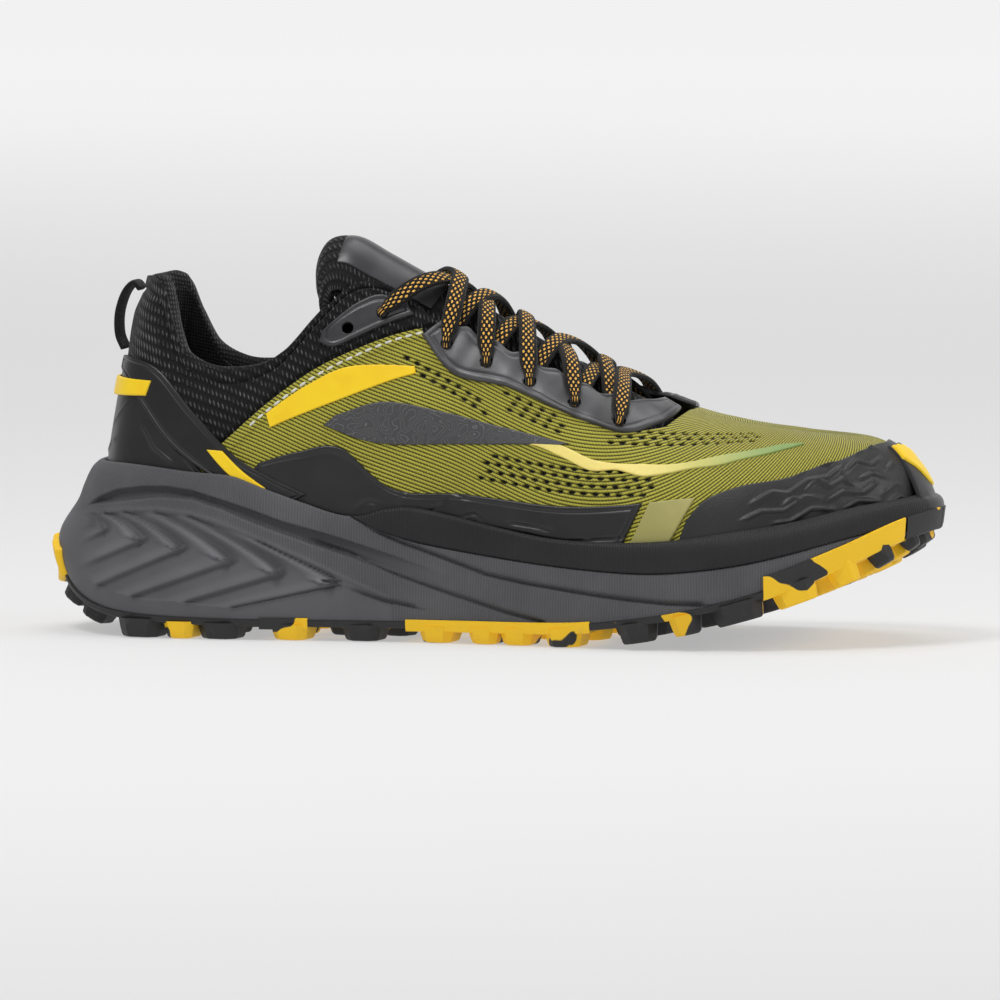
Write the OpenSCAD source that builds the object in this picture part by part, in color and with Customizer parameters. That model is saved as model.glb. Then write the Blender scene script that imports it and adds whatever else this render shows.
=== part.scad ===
// Right trail running shoe: cushioned two-foam sole, lugged rubber outsole,
// mesh upper with moulded overlays, padded collar and tongue, lace and pull tab.
// X runs from heel to toe, Z is up, Y is medial, and Z = 0 is the ground. The origin is
// below the middle of the shoe; the stations below count X from just behind the heel.

/* [Size] */
// Overall length of the shoe, heel to toe
shoe_length = 300; // [285:1:315]
// Width of the sole across the ball of the foot
ball_width = 106; // [100:1:112]
// Height of the tongue above the ground
shoe_height = 138; // [132:1:144]

/* [Upper] */
// Thickness of the woven mesh
mesh_t = 1.1; // [0.8:0.1:1.2]
// Thickness of the moulded overlays
overlay_t = 0.65; // [0.5:0.05:0.8]
// Thickness of the collar padding at the rim
padding_t = 4.4; // [3:0.2:5]
// Diameter of the punched lace holes
lace_hole_d = 4; // [3:0.5:5]

/* [Lace] */
// Width of the flat lace
lace_w = 5.6; // [4:0.2:7]
// Thickness of the flat lace
lace_t = 2; // [1.4:0.2:2.4]

/* [Sole] */
// Thickness of the rubber sheet that carries the lugs
sheet_t = 1.8; // [1.4:0.2:2.4]

/* [Pull tab] */
// Width of the heel pull tab webbing
tab_w = 9; // [6:0.5:11]
// Thickness of the heel pull tab webbing
tab_t = 2.2; // [1.4:0.2:2.8]

/* [Hidden] */

// The stations below are the size 42 pattern; grading scales it to the driving sizes.
gx = shoe_length / 300;
gy = ball_width / 106;
gz = shoe_height / 138;
// The origin is on the ground below the middle of the shoe
to_origin = [-150.69 * gx, -1.145 * gy, 0];
// Running clearance kept between neighbouring layers
gap = 0.35;
overlay_d = mesh_t + gap;
overlay_top = overlay_d + overlay_t;
second_d = overlay_top + gap;
second_top = second_d + 0.5;
lip_d = second_top + gap;
lip_t = 1.3;

// ---- plan outlines, heel to toe: upper at its lower edge, sole at its widest
upper_lat = [[22, 0], [24, -13], [32, -24.5], [50, -31], [75, -32.5], [105, -31.5], [135, -33],
  [165, -38], [195, -43.5], [222, -45.5], [248, -41], [269, -31], [285, -15.5], [292, 4]];
upper_med = [[22, 0], [24, 13], [32, 24.5], [50, 31], [75, 31], [105, 27.5], [135, 26.5],
  [165, 32], [195, 41.5], [223, 47], [249, 46], [271, 38], [286, 24.5], [292, 4]];
sole_lat = [[4, 0], [8, -18], [20, -32], [42, -40.5], [75, -41], [105, -38.5], [135, -38.5],
  [165, -43], [195, -49], [222, -52], [249, -48.5], [272, -37.5], [290, -20], [299.6, 4]];
sole_med = [[4, 0], [8, 18], [20, 31.5], [42, 39], [75, 38], [105, 33.5], [135, 32],
  [165, 38], [195, 48], [223, 54], [251, 52.5], [275, 44], [292, 28.5], [299.6, 4]];
stations = len(upper_lat) - 1;

// ---- side profiles, height above the ground along the shoe
bite_line = [[4, 56.5], [24, 56.5], [50, 54.5], [70, 53.2], [82, 49.4], [94, 45.2], [106, 41.4],
  [114, 41], [122, 43.2], [131, 44], [145, 41.8], [160, 38.6], [180, 35.2], [202, 34.3],
  [220, 35.2], [240, 38], [260, 41.2], [280, 45.6], [299, 48.4]];
ridge_line = [[50, 172], [80, 158], [104, 141], [120, 127.5], [140, 115], [160, 103.5], [180, 92],
  [200, 81], [214, 75], [230, 70.8], [248, 68], [264, 66.5]];
foam_split = [[110, 41.2], [116, 38.2], [121, 36], [128, 34], [136, 32.2], [156, 29.2], [178, 26.6],
  [204, 24.8], [220, 25], [240, 27.3], [256, 30.6], [270, 34.4], [285, 38.3], [299, 41.2]];
sole_under = [[4, 24], [8, 19], [14, 14], [21, 10.4], [30, 8.2], [45, 6.9], [70, 6.2], [108, 6.2],
  [150, 6.4], [185, 7], [205, 9], [226, 12.6], [251, 19.2], [274, 28.6], [290, 36.4], [299, 39.4]];
ground_line = [[4, 17], [8, 12.5], [14, 7.6], [21, 3.2], [30, 0.4], [38, 0], [60, 0], [150, 0], [192, 0],
  [205, 1.4],
  [226, 5], [251, 11.6], [274, 20.4], [290, 29.4], [299, 36]];
// Floor of the foot cavity, where the upper meets the foam
bed_line = [[4, 46.4], [50, 45.3], [75, 43.4], [95, 40.2], [110, 37.8], [122, 36.9], [145, 35.6],
  [160, 33.4], [180, 30.5], [202, 29.5], [220, 30.3], [240, 33], [260, 36.3], [280, 40.5], [299, 43.4]];
spine_y = [[50, 0], [110, -2], [150, -2], [200, 0], [240, 2], [264, 4]];
side_power = [[60, 1.7], [90, 1.95], [130, 2.1], [160, 2.1], [190, 2.05], [215, 2.1], [240, 2.4],
  [264, 3]];
rise_power = [[50, 1.2], [90, 1.4], [130, 1.8], [160, 1.9], [190, 1.9], [215, 2], [240, 2.1],
  [264, 2.3]];

// ---- shared maths
function clamp(x, a, b) = min(max(x, a), b);
function mix(a, b, t) = a + (b - a) * t;
function unit(v) = v / max(norm(v), 1e-9);
// Cubic through the points [x, y] of a table, with slopes from the neighbours
function seg(p, x, i = 0) = i >= len(p) - 2 || x < p[i + 1][0] ? i : seg(p, x, i + 1);
function slope(p, i) = let(a = p[max(i - 1, 0)], b = p[min(i + 1, len(p) - 1)])
  (b[1] - a[1]) / (b[0] - a[0]);
function curve(p, x) = let(i = seg(p, x), a = p[i], b = p[i + 1], h = b[0] - a[0],
  t = clamp((x - a[0]) / h, 0, 1), t2 = t * t, t3 = t2 * t)
  a[1] * (2 * t3 - 3 * t2 + 1) + b[1] * (3 * t2 - 2 * t3)
  + h * slope(p, i) * (t3 - 2 * t2 + t) + h * slope(p, i + 1) * (t3 - t2);
// Smooth path through points a, b, c, d at parameter f between b and c
function spline(a, b, c, d, f) = 0.5 * (2 * b + (c - a) * f + (2 * a - 5 * b + 4 * c - d) * f * f
  + (3 * b - a - 3 * c + d) * f * f * f);
// Point on a closed outline; q is 0 at the heel, 1 at the toe, 2 back at the heel
function ring_of(lat, med) = [for (i = [0:stations - 1]) lat[i], for (i = [stations:-1:1]) med[i]];
function on_ring(r, q) = let(n = 2 * stations, t = q * stations + 2 * n, i = floor(t), f = t - i)
  spline(r[(i - 1) % n], r[i % n], r[(i + 1) % n], r[(i + 2) % n], f);
upper_ring = ring_of(upper_lat, upper_med);
sole_ring = ring_of(sole_lat, sole_med);

// ---- the upper's surface: q around the shoe, t up from the sole (0) to the ridge (1)
// Where the ridge point of a cross-section sits for the middle of its outline points
spine_map = [[22, 60], [50, 74], [75, 92.5], [105, 116], [160, 159.5], [225, 211], [292, 264]];
function middle_x(q) = (on_ring(upper_ring, q)[0] + on_ring(upper_ring, 2 - q)[0]) / 2;
// [outline x, y, spine x, y, side power, rise power, ridge height, lower edge height]
function station(q) = let(f = on_ring(upper_ring, q), m = middle_x(q),
  s = curve(spine_map, m))
  [f[0], f[1], s, curve(spine_y, s), curve(side_power, s), curve(rise_power, s),
  curve(ridge_line, s), curve(bed_line, m)];
function on_station(k, t) = let(a = 90 * clamp(t, 0, 1), r = pow(max(cos(a), 0), 2 / k[4]),
  h = pow(max(sin(a), 0), 2 / k[5]))
  [gx * mix(k[2], k[0], r), gy * mix(k[3], k[1], r), gz * mix(k[7], k[6], h)];
function raw(q, t) = on_station(station(q), t);
dq = 0.002;
dt = 0.01;
ridge_t = 0.965;
function side_normal(q, t) = let(u = clamp(t, dt, ridge_t))
  unit(cross(raw(q + dq, u) - raw(q - dq, u), raw(q, u + dt) - raw(q, u - dt)));
function normal(q, t) = t > ridge_t ? let(w = (t - ridge_t) / (1 - ridge_t) / 2)
  unit(mix(side_normal(q, t), side_normal(2 - q, t), w)) : side_normal(q, t);
// Parameter t at a height z above the ground (size 42 millimetres)
function t_at(q, z) = let(k = station(q), h = clamp((z - k[7]) / (k[6] - k[7]), 0, 1))
  asin(pow(h, k[5] / 2)) / 90;

// ---- solids from grids of points
// Rail: a path in [q, t], smooth or straight between its points, s from 0 to 1
function rail(p, s, smooth) = let(n = len(p) - 1, u = clamp(s, 0, 1) * n, i = min(floor(u), n - 1),
  f = u - i) smooth ? spline(i == 0 ? 2 * p[0] - p[1] : p[i - 1], p[i], p[i + 1],
  i == n - 1 ? 2 * p[n] - p[n - 1] : p[i + 2], f) : mix(p[i], p[i + 1], f);
function tri(a, b, c, d) = [[a, b, c], [a, c, d]];
// Closed solid between an outer and an inner grid of (na + 1) x (nb + 1) points
module sheet(outer, inner, na, nb) {
  n = (na + 1) * (nb + 1);
  function o(i, j) = i * (nb + 1) + j;
  function u(i, j) = n + o(i, j);
  polyhedron(points = concat(outer, inner), faces = [
    for (i = [0:na - 1], j = [0:nb - 1]) each tri(o(i, j), o(i, j + 1), o(i + 1, j + 1), o(i + 1, j)),
    for (i = [0:na - 1], j = [0:nb - 1]) each tri(u(i, j), u(i + 1, j), u(i + 1, j + 1), u(i, j + 1)),
    for (i = [0:na - 1]) each tri(o(i, 0), o(i + 1, 0), u(i + 1, 0), u(i, 0)),
    for (i = [0:na - 1]) each tri(o(i + 1, nb), o(i, nb), u(i, nb), u(i + 1, nb)),
    for (j = [0:nb - 1]) each tri(o(0, j + 1), o(0, j), u(0, j), u(0, j + 1)),
    for (j = [0:nb - 1]) each tri(o(na, j), o(na, j + 1), u(na, j + 1), u(na, j))]);
}
// Panel on the upper between a lower and an upper rail, from depth lo to depth hi;
// lo and hi are [at the lower rail, at the upper rail]
module panel(low, high, na, nb, lo, hi, smooth = true) {
  grid = [for (i = [0:na]) let(a = rail(low, i / na, smooth), b = rail(high, i / na, smooth))
    for (j = [0:nb]) let(p = mix(a, b, j / nb)) [raw(p[0], p[1]), normal(p[0], p[1]), j / nb]];
  sheet([for (g = grid) g[0] + g[1] * mix(hi[0], hi[1], g[2])],
    [for (g = grid) g[0] + g[1] * mix(lo[0], lo[1], g[2])], na, nb);
}
// Same panel on the medial side
function flip(p) = [for (i = [len(p) - 1:-1:0]) [2 - p[i][0], p[i][1]]];
module side_panel(medial, low, high, na, nb, lo, hi, smooth = true) {
  if (medial) panel(flip(low), flip(high), na, nb, lo, hi, smooth);
  else panel(low, high, na, nb, lo, hi, smooth);
}
// Solid through a list of sections. Each section is a loop whose second half mirrors the
// first; a half starts and ends at its inner edge, which is where the end faces are split
module loft(sections) {
  m = len(sections[0]);
  h = m / 2 - 1;
  last = len(sections) - 1;
  function at(i, k) = i * m + (k % m);
  function mirrored(i, k) = at(i, m - 1 - k);
  polyhedron(points = [for (s = sections) each s], faces = [
    for (i = [0:last - 1], k = [0:m - 1]) each tri(at(i, k), at(i, k + 1), at(i + 1, k + 1), at(i + 1, k)),
    each tri(mirrored(0, 0), mirrored(0, h), at(0, h), at(0, 0)),
    each tri(at(last, 0), at(last, h), mirrored(last, h), mirrored(last, 0)),
    for (k = [1:h - 1]) [at(0, h), at(0, k), at(0, k - 1)],
    for (k = [1:h - 1]) [mirrored(0, h), mirrored(0, k - 1), mirrored(0, k)],
    for (k = [1:h - 1]) [at(last, h), at(last, k - 1), at(last, k)],
    for (k = [1:h - 1]) [mirrored(last, h), mirrored(last, k), mirrored(last, k - 1)]]);
}
// Stations from the heel to the toe, closer together at both ends
end_u = 0.004;
function along(u0, u1, n, i) = mix(u0, u1, (1 - cos(180 * i / n)) / 2 * 0.55 + i / n * 0.45);
sole_sections = 44;
sole_u = [for (i = [0:sole_sections]) along(end_u, 1 - end_u, sole_sections, i)];
function both_sides(f) = concat(f[0], [for (k = [len(f[1]) - 1:-1:0]) f[1][k]]);

// ---- the sole
function lip_point(q, z, d) = let(t = t_at(q, z)) raw(q, t) + normal(q, t) * d;
// Share of the way out from the rim to the widest outline, by height on the wall
heel_flare = [[0, 0.86], [0.12, 0.97], [0.24, 1], [0.36, 0.9], [0.6, 0.54], [0.75, 0.4], [0.92, 0.2],
  [1, 0]];
fore_flare = [[0, 0.8], [0.15, 0.94], [0.35, 1], [0.55, 0.97], [0.75, 0.86], [0.9, 0.55], [1, 0]];
function flare(x, h) = mix(curve(heel_flare, h), curve(fore_flare, h), clamp((x - 60) / 80, 0, 1));
// Point on the outer wall; z is a height in size 42 millimetres
function wall_point(q, z) = let(s = on_ring(sole_ring, q), m = s[0], top = curve(bite_line, m),
  low = curve(sole_under, m), w = flare(m, clamp((z - low) / (top - low), 0, 1)),
  rim = lip_point(q, top, lip_d + lip_t)) [mix(rim[0], gx * s[0], w), mix(rim[1], gy * s[1], w), gz * z];
function bite_z(q) = curve(bite_line, on_ring(sole_ring, q)[0]);
function under_z(q) = curve(sole_under, on_ring(sole_ring, q)[0]);
function split_z(q) = let(x = on_ring(sole_ring, q)[0], b = curve(bite_line, x))
  x < 110 ? b : min(b, curve(foam_split, x));
function bed_z(q) = station(q)[7];
foam_gap = 0.15;

shoulder = 0.5;
function at_z(p, z) = [p[0], p[1], gz * z];
function lower_side(q) = let(b = under_z(q) + foam_gap, s = split_z(q), f = bed_z(q) - gap,
  in_z = min(f, s), top = min(bite_z(q), s), inner = lip_point(q, f, lip_d))
  concat([at_z(inner, b)], [for (k = [0:5]) wall_point(q, mix(b, top, k / 5))],
  [at_z(lip_point(q, top, lip_d + shoulder), top), at_z(inner, in_z)]);
module midsole_lower_foam() {
  color([0.31, 0.31, 0.32]) loft([for (u = sole_u) both_sides([lower_side(u), lower_side(2 - u)])]);
}
function upper_side(q) = let(s = split_z(q) + foam_gap, t = max(bite_z(q), s + 0.3),
  f = bed_z(q) - gap, inner = lip_point(q, f, lip_d))
  concat([at_z(inner, s), at_z(lip_point(q, s, lip_d + shoulder), s)],
    [for (k = [0:3]) wall_point(q, mix(s, t, k / 3))],
  [lip_point(q, t, lip_d), at_z(inner, max(f, s + 0.3))]);
upper_foam_start = 121;
module midsole_upper_foam() {
  color([0.15, 0.15, 0.15]) loft([for (u = sole_u) if (on_ring(sole_ring, u)[0] > upper_foam_start)
    both_sides([upper_side(u), upper_side(2 - u)])]);
}

// Rubber sheet under the foam
function sheet_side(q, top, low, w) = let(z = under_z(q), p = wall_point(q, z), c = wall_point(2 - q, z),
  e = mix(c, p, w)) [[e[0], e[1], gz * (z - low)], [e[0], e[1], gz * (z - top)]];
// A lug: a prism with a chamfered plan, its foot on the ground curve
lug_reach = 6.5;
module lug(x, y, lx, ly, turn, drop = 0) {
  tilt = atan(slope_at(ground_line, x));
  g = max(curve(ground_line, x), lug_reach * abs(sin(tilt)));
  up = (curve(sole_under, x) - sheet_t * 0.5 - g - drop) * cos(tilt);
  c = min(lx, ly) * 0.22;
  translate([gx * x, gy * y, gz * g])
    rotate([0, -tilt, 0]) rotate([0, 0, turn]) linear_extrude(gz * up)
      polygon([[-lx / 2 + c, -ly / 2], [lx / 2 - c, -ly / 2], [lx / 2, -ly / 2 + c], [lx / 2, ly / 2 - c],
        [lx / 2 - c, ly / 2], [-lx / 2 + c, ly / 2], [-lx / 2, ly / 2 - c], [-lx / 2, -ly / 2 + c]]);
}
function slope_at(p, x) = (curve(p, x + 2) - curve(p, x - 2)) / 4;
// Widest point of the sole on one side at x
function edge_y(x, side) = curve(side < 0 ? sole_lat : sole_med, x);
edge_lug_x = [12, 27, 40, 54, 68, 91, 115, 140, 162, 183, 206, 226, 246, 262, 277];
inner_lug_x = [34, 50, 66, 86, 104, 152, 172, 192, 210, 229, 248, 266];
yellow_zones = [[81, 97], [130, 194], [251, 300]];
function in_zone(x, z) = x >= z[0] && x <= z[1];
function is_yellow(x) = len([for (z = yellow_zones) if (in_zone(x, z)) 1]) > 0;
// Lugs along both edges and in two inner rows; zone picks the rubber colour
module lugs(zone, drop = 0) {
  for (x = edge_lug_x, side = [-1, 1])
    if (zone == undef ? !is_yellow(x) : in_zone(x, zone))
      lug(x, edge_y(x, side) * (x < 20 ? 0.45 : 0.8), x > 250 ? 10 : 12, 14,
        side * (x > 200 ? -12 : 8), x < 20 ? -1.4 : drop);
  for (x = inner_lug_x, side = [-1, 1])
    if (zone == undef ? !is_yellow(x) : in_zone(x, zone))
      lug(x, edge_y(x, side) * 0.3, 8, 10, side * 20, drop);
}
// Thin rubber web below the sheet that joins the lugs of one yellow zone
web_t = 1;
module web(zone, n) {
  u0 = u_of(zone[0]);
  u1 = min(u_of(zone[1]), 1 - 3 * end_u);
  top = sheet_t + 0.1;
  loft([for (i = [0:n]) let(u = mix(u0, u1, i / n))
    both_sides([sheet_side(u, top, top + web_t, 0.985), sheet_side(2 - u, top, top + web_t, 0.985)])]);
}
function u_of(x, a = 0, b = 1, n = 14) = n == 0 ? (a + b) / 2 : let(m = (a + b) / 2)
  on_ring(sole_ring, m)[0] < x ? u_of(x, m, b, n - 1) : u_of(x, a, m, n - 1);
module outsole_rubber() {
  color([0.15, 0.15, 0.15]) union() {
    loft([for (u = sole_u) both_sides([sheet_side(u, 0, sheet_t, 1), sheet_side(2 - u, 0, sheet_t, 1)])]);
    lugs();
  }
}
module yellow_zone(k, n) {
  color([0.99, 0.82, 0.08]) union() {
    web(yellow_zones[k], n);
    lugs(yellow_zones[k], sheet_t * 0.5 + 0.5);
  }
}
module outsole_yellow_heel() { yellow_zone(0, 4); }
module outsole_yellow_midfoot() { yellow_zone(1, 8); }
module outsole_yellow_forefoot() { yellow_zone(2, 10); }

// Point on the outside of the shoe at height z, d outside the wall or the overlays
blend_z = 9;
function out_dir(q) = let(t = on_ring(sole_ring, q + dq) - on_ring(sole_ring, q - dq))
  unit([t[1], -t[0], 0]);
function shell_point(q, z, d) = let(b = bite_z(q)) z <= b ? wall_point(q, z) + out_dir(q) * d
  : lip_point(q, z, mix(lip_d + lip_t, overlay_top + gap, clamp((z - b) / blend_z, 0, 1)) + d);
// Patch of rubber that wraps an end of the shoe; low and high give its edges
module wrap(q0, q1, na, nb, low, high, d0, d1) {
  grid = [for (i = [0:na]) let(q = mix(q0, q1, i / na), e = abs(2 * i / na - 1)) for (j = [0:nb])
    let(z = mix(mix(low[0], low[1], e), mix(high[0], high[1], e), j / nb)) [q, z]];
  sheet([for (g = grid) shell_point(g[0], g[1], d1)], [for (g = grid) shell_point(g[0], g[1], d0)], na, nb);
}
module outsole_yellow_rear() {
  color([0.99, 0.82, 0.08]) wrap(-0.085, 0.085, 14, 4, [15, 18], [30, 27], 0.2, 2.2);
}
module toe_bumper() {
  color([0.13, 0.13, 0.13]) wrap(0.9, 1.1, 16, 4, [49.4, 49.8], [64, 57], 0.2, 1.4);
}
module toe_bumper_accent() {
  color([0.99, 0.82, 0.08]) wrap(0.955, 1.045, 10, 3, [50.5, 52], [61, 58], 1.6, 2.3);
}

// ---- inside the shoe
inset = [[22, 3.9], [105, 3.9], [140, 2.4], [292, 2.4]];
function inside_point(q, extra, z) = let(p = raw(q, 0), a = raw(q + dq, 0) - raw(q - dq, 0),
  n = unit([a[1], -a[0], 0]), w = curve(inset, p[0] / gx) + extra)
  [p[0] - n[0] * w, p[1] - n[1] * w, gz * z];
module board(u0, extra, low, high) {
  loft([for (u = sole_u) if (u >= u0 && u <= 1 - u0) let(z = bed_z(u)) both_sides([for (q = [u, 2 - u])
    [inside_point(q, extra, z + low), inside_point(q, extra, z + high)]])]);
}
module strobel_board() { color([0.75, 0.72, 0.62]) board(0.02, 0, 0.3, 1.4); }
insole_t = 4.2;
module insole() { color([0.2, 0.2, 0.2]) board(0.03, 0.5, 1.7, 1.7 + insole_t); }

// Topline of the collar, heel to throat, and the seam between mesh and heel fabric
top_t = [[0, 0.5], [0.06, 0.505], [0.12, 0.507], [0.165, 0.487], [0.195, 0.432], [0.225, 0.373],
  [0.255, 0.349], [0.28, 0.348], [0.305, 0.364], [0.33, 0.41], [0.355, 0.52], [0.38, 0.65], [0.4, 0.7],
  [0.42, 0.705], [0.456, 0.655]];
function top_at(q) = curve(top_t, abs(q));
seam_foot = 0.202;
seam_run = 0.408;
function seam_q(t) = seam_foot + seam_run * t;
throat_t = 0.525;
seam_top = 0.62;
seam_end = seam_q(seam_top);
seam_gap = 0.0028;
module heel_stiffener() {
  n = 20;
  color([0.8, 0.78, 0.7]) panel([for (i = [-4:4]) [0.15 * i / 4, 0.02]],
    [for (i = [-4:4]) [0.14 * i / 4, 0.33 - 0.012 * abs(i)]], n, 4, [-1.4, -1.4], [-0.3, -0.3]);
}
module toe_puff() {
  color([0.8, 0.78, 0.7]) panel([[0.86, 0.03], [0.93, 0.03], [1, 0.03], [1.07, 0.03], [1.14, 0.03]],
    [[0.9, 0.3], [0.95, 0.42], [1, 0.46], [1.05, 0.42], [1.1, 0.3]], 16, 4, [-1.3, -1.3], [-0.4, -0.4]);
}
collar_end = 0.345;
function collar_rail(top) = [for (i = [-16:16]) let(q = collar_end * i / 16)
  [q, top == 0 ? 0.025 : top_at(q) - top]];
module collar_foam() {
  color([0.9, 0.88, 0.8]) panel([for (i = [-16:16]) let(q = collar_end * i / 16)
    [q, max(0.19, (top_at(q) - 0.01) * 0.5)]], collar_rail(0.03), 36, 3, [-2.9, -1.6 - padding_t],
    [-1.8, -0.9]);
}
module collar_lining() {
  color([0.05, 0.05, 0.05]) panel(collar_rail(0), collar_rail(0.03), 36, 6,
    [-2.9, -2.6 - padding_t], [-2.1, -1.8 - padding_t]);
}
module collar_binding() {
  color([0.06, 0.06, 0.06]) panel(collar_rail(0.027), collar_rail(-0.008), 40, 2,
    [-2.6 - padding_t, -1.4 - padding_t * 0.6], [-0.1, -0.4]);
}
module heel_mesh() {
  side = [for (i = [7:-1:0]) [seam_q(seam_top * i / 7), seam_top * i / 7]];
  low = concat([for (p = side) [seam_gap - p[0], p[1]]], [for (i = [-6:6]) [seam_q(0) * 0.96 * i / 7, 0]],
    [for (i = [len(side) - 1:-1:0]) [side[i][0] - seam_gap, side[i][1]]]);
  n = len(low) - 1;
  high = [for (i = [0:n]) let(q = (seam_end - seam_gap) * (2 * i / n - 1)) [q, top_at(q) + 0.002]];
  color([0.09, 0.09, 0.09]) difference() {
    panel(low, high, 50, 7, [0, 0], [mesh_t, mesh_t], false);
    for (h = panel_holes, side = [1, -1]) hole(side * h[0], h[1], lace_hole_d);
  }
}
// Olive mesh: round the toe between the two seams, sewn shut along the ridge past the throat
throat_q = 0.722;
module vamp_mesh() {
  na = 64;
  nb = 7;
  q0 = seam_foot;
  function q_low(i) = mix(seam_foot + seam_gap, 2 - seam_foot - seam_gap, i / na);
  half = na / 2;
  first = ceil(half * (throat_q - q0) / (1 - q0)) - 2;
  function hi(i) = let(k = i <= half ? i : na - i) k >= first
    ? [mix(throat_q, 1, (k - first) / (half - first)), 1]
    : let(s = k / first, e = rail(throat_edge, s, true)) e;
  function grid_p(i, j) = let(a = [q_low(i), 0], k = hi(i), b = i <= half ? k : [2 - k[0], k[1]])
    mix(a, b, j / nb);
  function id(i, j) = j == nb && i > half && na - i >= first ? (na - i) * (nb + 1) + j : i * (nb + 1) + j;
  n = (na + 1) * (nb + 1);
  grid = [for (i = [0:na], j = [0:nb]) let(p = grid_p(i, j)) [raw(p[0], p[1]), normal(p[0], p[1])]];
  function low_id(i, j) = n + id(i, j);
  open_i = [for (i = [0:na - 1]) if (i < first || i >= na - first) i];
  color([0.62, 0.6, 0.24]) polyhedron(points = concat([for (g = grid) g[0] + g[1] * mesh_t],
    [for (g = grid) g[0]]), faces = [
    for (i = [0:na - 1], j = [0:nb - 1]) each tri(id(i, j), id(i, j + 1), id(i + 1, j + 1), id(i + 1, j)),
    for (i = [0:na - 1], j = [0:nb - 1])
      each tri(low_id(i, j), low_id(i + 1, j), low_id(i + 1, j + 1), low_id(i, j + 1)),
    for (i = [0:na - 1]) each tri(id(i, 0), id(i + 1, 0), low_id(i + 1, 0), low_id(i, 0)),
    for (i = open_i) each tri(id(i + 1, nb), id(i, nb), low_id(i, nb), low_id(i + 1, nb)),
    for (j = [0:nb - 1]) each tri(id(0, j + 1), id(0, j), low_id(0, j), low_id(0, j + 1)),
    for (j = [0:nb - 1]) each tri(id(na, j), id(na, j + 1), low_id(na, j + 1), low_id(na, j))]);
}
throat_edge = [[seam_q(throat_t) + seam_gap, throat_t], [0.47, throat_t], [0.53, throat_t],
  [0.59, throat_t + 0.01],
  [0.64, throat_t + 0.008], [0.685, 0.64], [0.705, 0.8], [throat_q, 1]];

// ---- moulded overlays, lateral outlines in [q, t]; the medial ones mirror them
over = [overlay_d, overlay_d];
over_top = [overlay_top, overlay_top];
module mudguard(medial) {
  color([0.2, 0.2, 0.21]) side_panel(medial,
    [[0.275, 0.005], [0.34, 0.005], [0.4, 0.005], [0.46, 0.005], [0.52, 0.005], [0.58, 0.005],
      [0.635, 0.005]],
    [[0.318, 0.155], [0.352, 0.192], [0.388, 0.212], [0.436, 0.117], [0.5, 0.13], [0.58, 0.165],
      [0.66, 0.226]],
    26, 3, over, over_top);
}
module mudguard_lateral() { mudguard(false); }
module mudguard_medial() { mudguard(true); }
module side_band(medial) {
  color([0.66, 0.64, 0.4]) side_panel(medial, [[0.642, 0.005], [0.661, 0.005], [0.679, 0.005]],
    [[0.667, 0.232], [0.69, 0.25], [0.711, 0.26]], 6, 3, over, over_top);
}
module side_band_lateral() { side_band(false); }
module side_band_medial() { side_band(true); }
module toe_cap() {
  half_edge = [[0.702, 0.157], [0.722, 0.255], [0.758, 0.325], [0.804, 0.365], [0.841, 0.432],
    [0.872, 0.48],
    [0.908, 0.565], [0.95, 0.65]];
  half_foot = [[0.69, 0.005], [0.73, 0.005], [0.77, 0.005], [0.81, 0.005], [0.85, 0.005], [0.89, 0.005],
    [0.93, 0.005], [0.965, 0.005]];
  color([0.33, 0.33, 0.33]) panel(concat(half_foot, [[1, 0.005]], flip(half_foot)),
    concat(half_edge, [[1, 0.68]], flip(half_edge)), 48, 6, over, over_top);
}
// Punched hole along the surface normal
module hole(q, t, d) {
  n = normal(q, t);
  translate(raw(q, t) - n * 4) rotate([0, acos(n[2]), atan2(n[1], n[0])]) cylinder(h = 12, d = d, $fn = 32);
}
eyelets = [[0.636, 0.56], [0.592, 0.566], [0.55, 0.572], [0.509, 0.574], [0.471, 0.58]];
panel_holes = [[0.409, 0.6], [0.381, 0.512]];
eyestay_t = 1.1;
module eyestay(medial) {
  color([0.42, 0.42, 0.42]) difference() {
    side_panel(medial, [[0.447, 0.575], [0.482, 0.483], [0.535, 0.516], [0.6, 0.508], [0.645, 0.526],
      [0.68, 0.655], [0.696, 0.76], [0.704, 0.86]],
      [[0.465, 0.685], [0.49, 0.68], [0.545, 0.674], [0.6, 0.672], [0.64, 0.69], [0.664, 0.77],
        [0.678, 0.86],
      [0.684, 0.92]], 28, 3, over, [overlay_d + eyestay_t, overlay_d + eyestay_t]);
    for (e = eyelets) hole(medial ? 2 - e[0] : e[0], e[1], lace_hole_d);
  }
}
module eyestay_lateral() { eyestay(false); }
module eyestay_medial() { eyestay(true); }
module eyelet_panel(medial) {
  color([0.25, 0.25, 0.25]) difference() {
    side_panel(medial, [[0.358, 0.45], [0.372, 0.452], [0.395, 0.512], [0.415, 0.572], [0.437, 0.64]],
      [[0.36, 0.48], [0.375, 0.55], [0.388, 0.61], [0.404, 0.66], [0.428, 0.668]], 12, 3, over, over_top);
    for (h = panel_holes) hole(medial ? 2 - h[0] : h[0], h[1], lace_hole_d);
  }
}
module eyelet_panel_lateral() { eyelet_panel(false); }
module eyelet_panel_medial() { eyelet_panel(true); }
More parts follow.
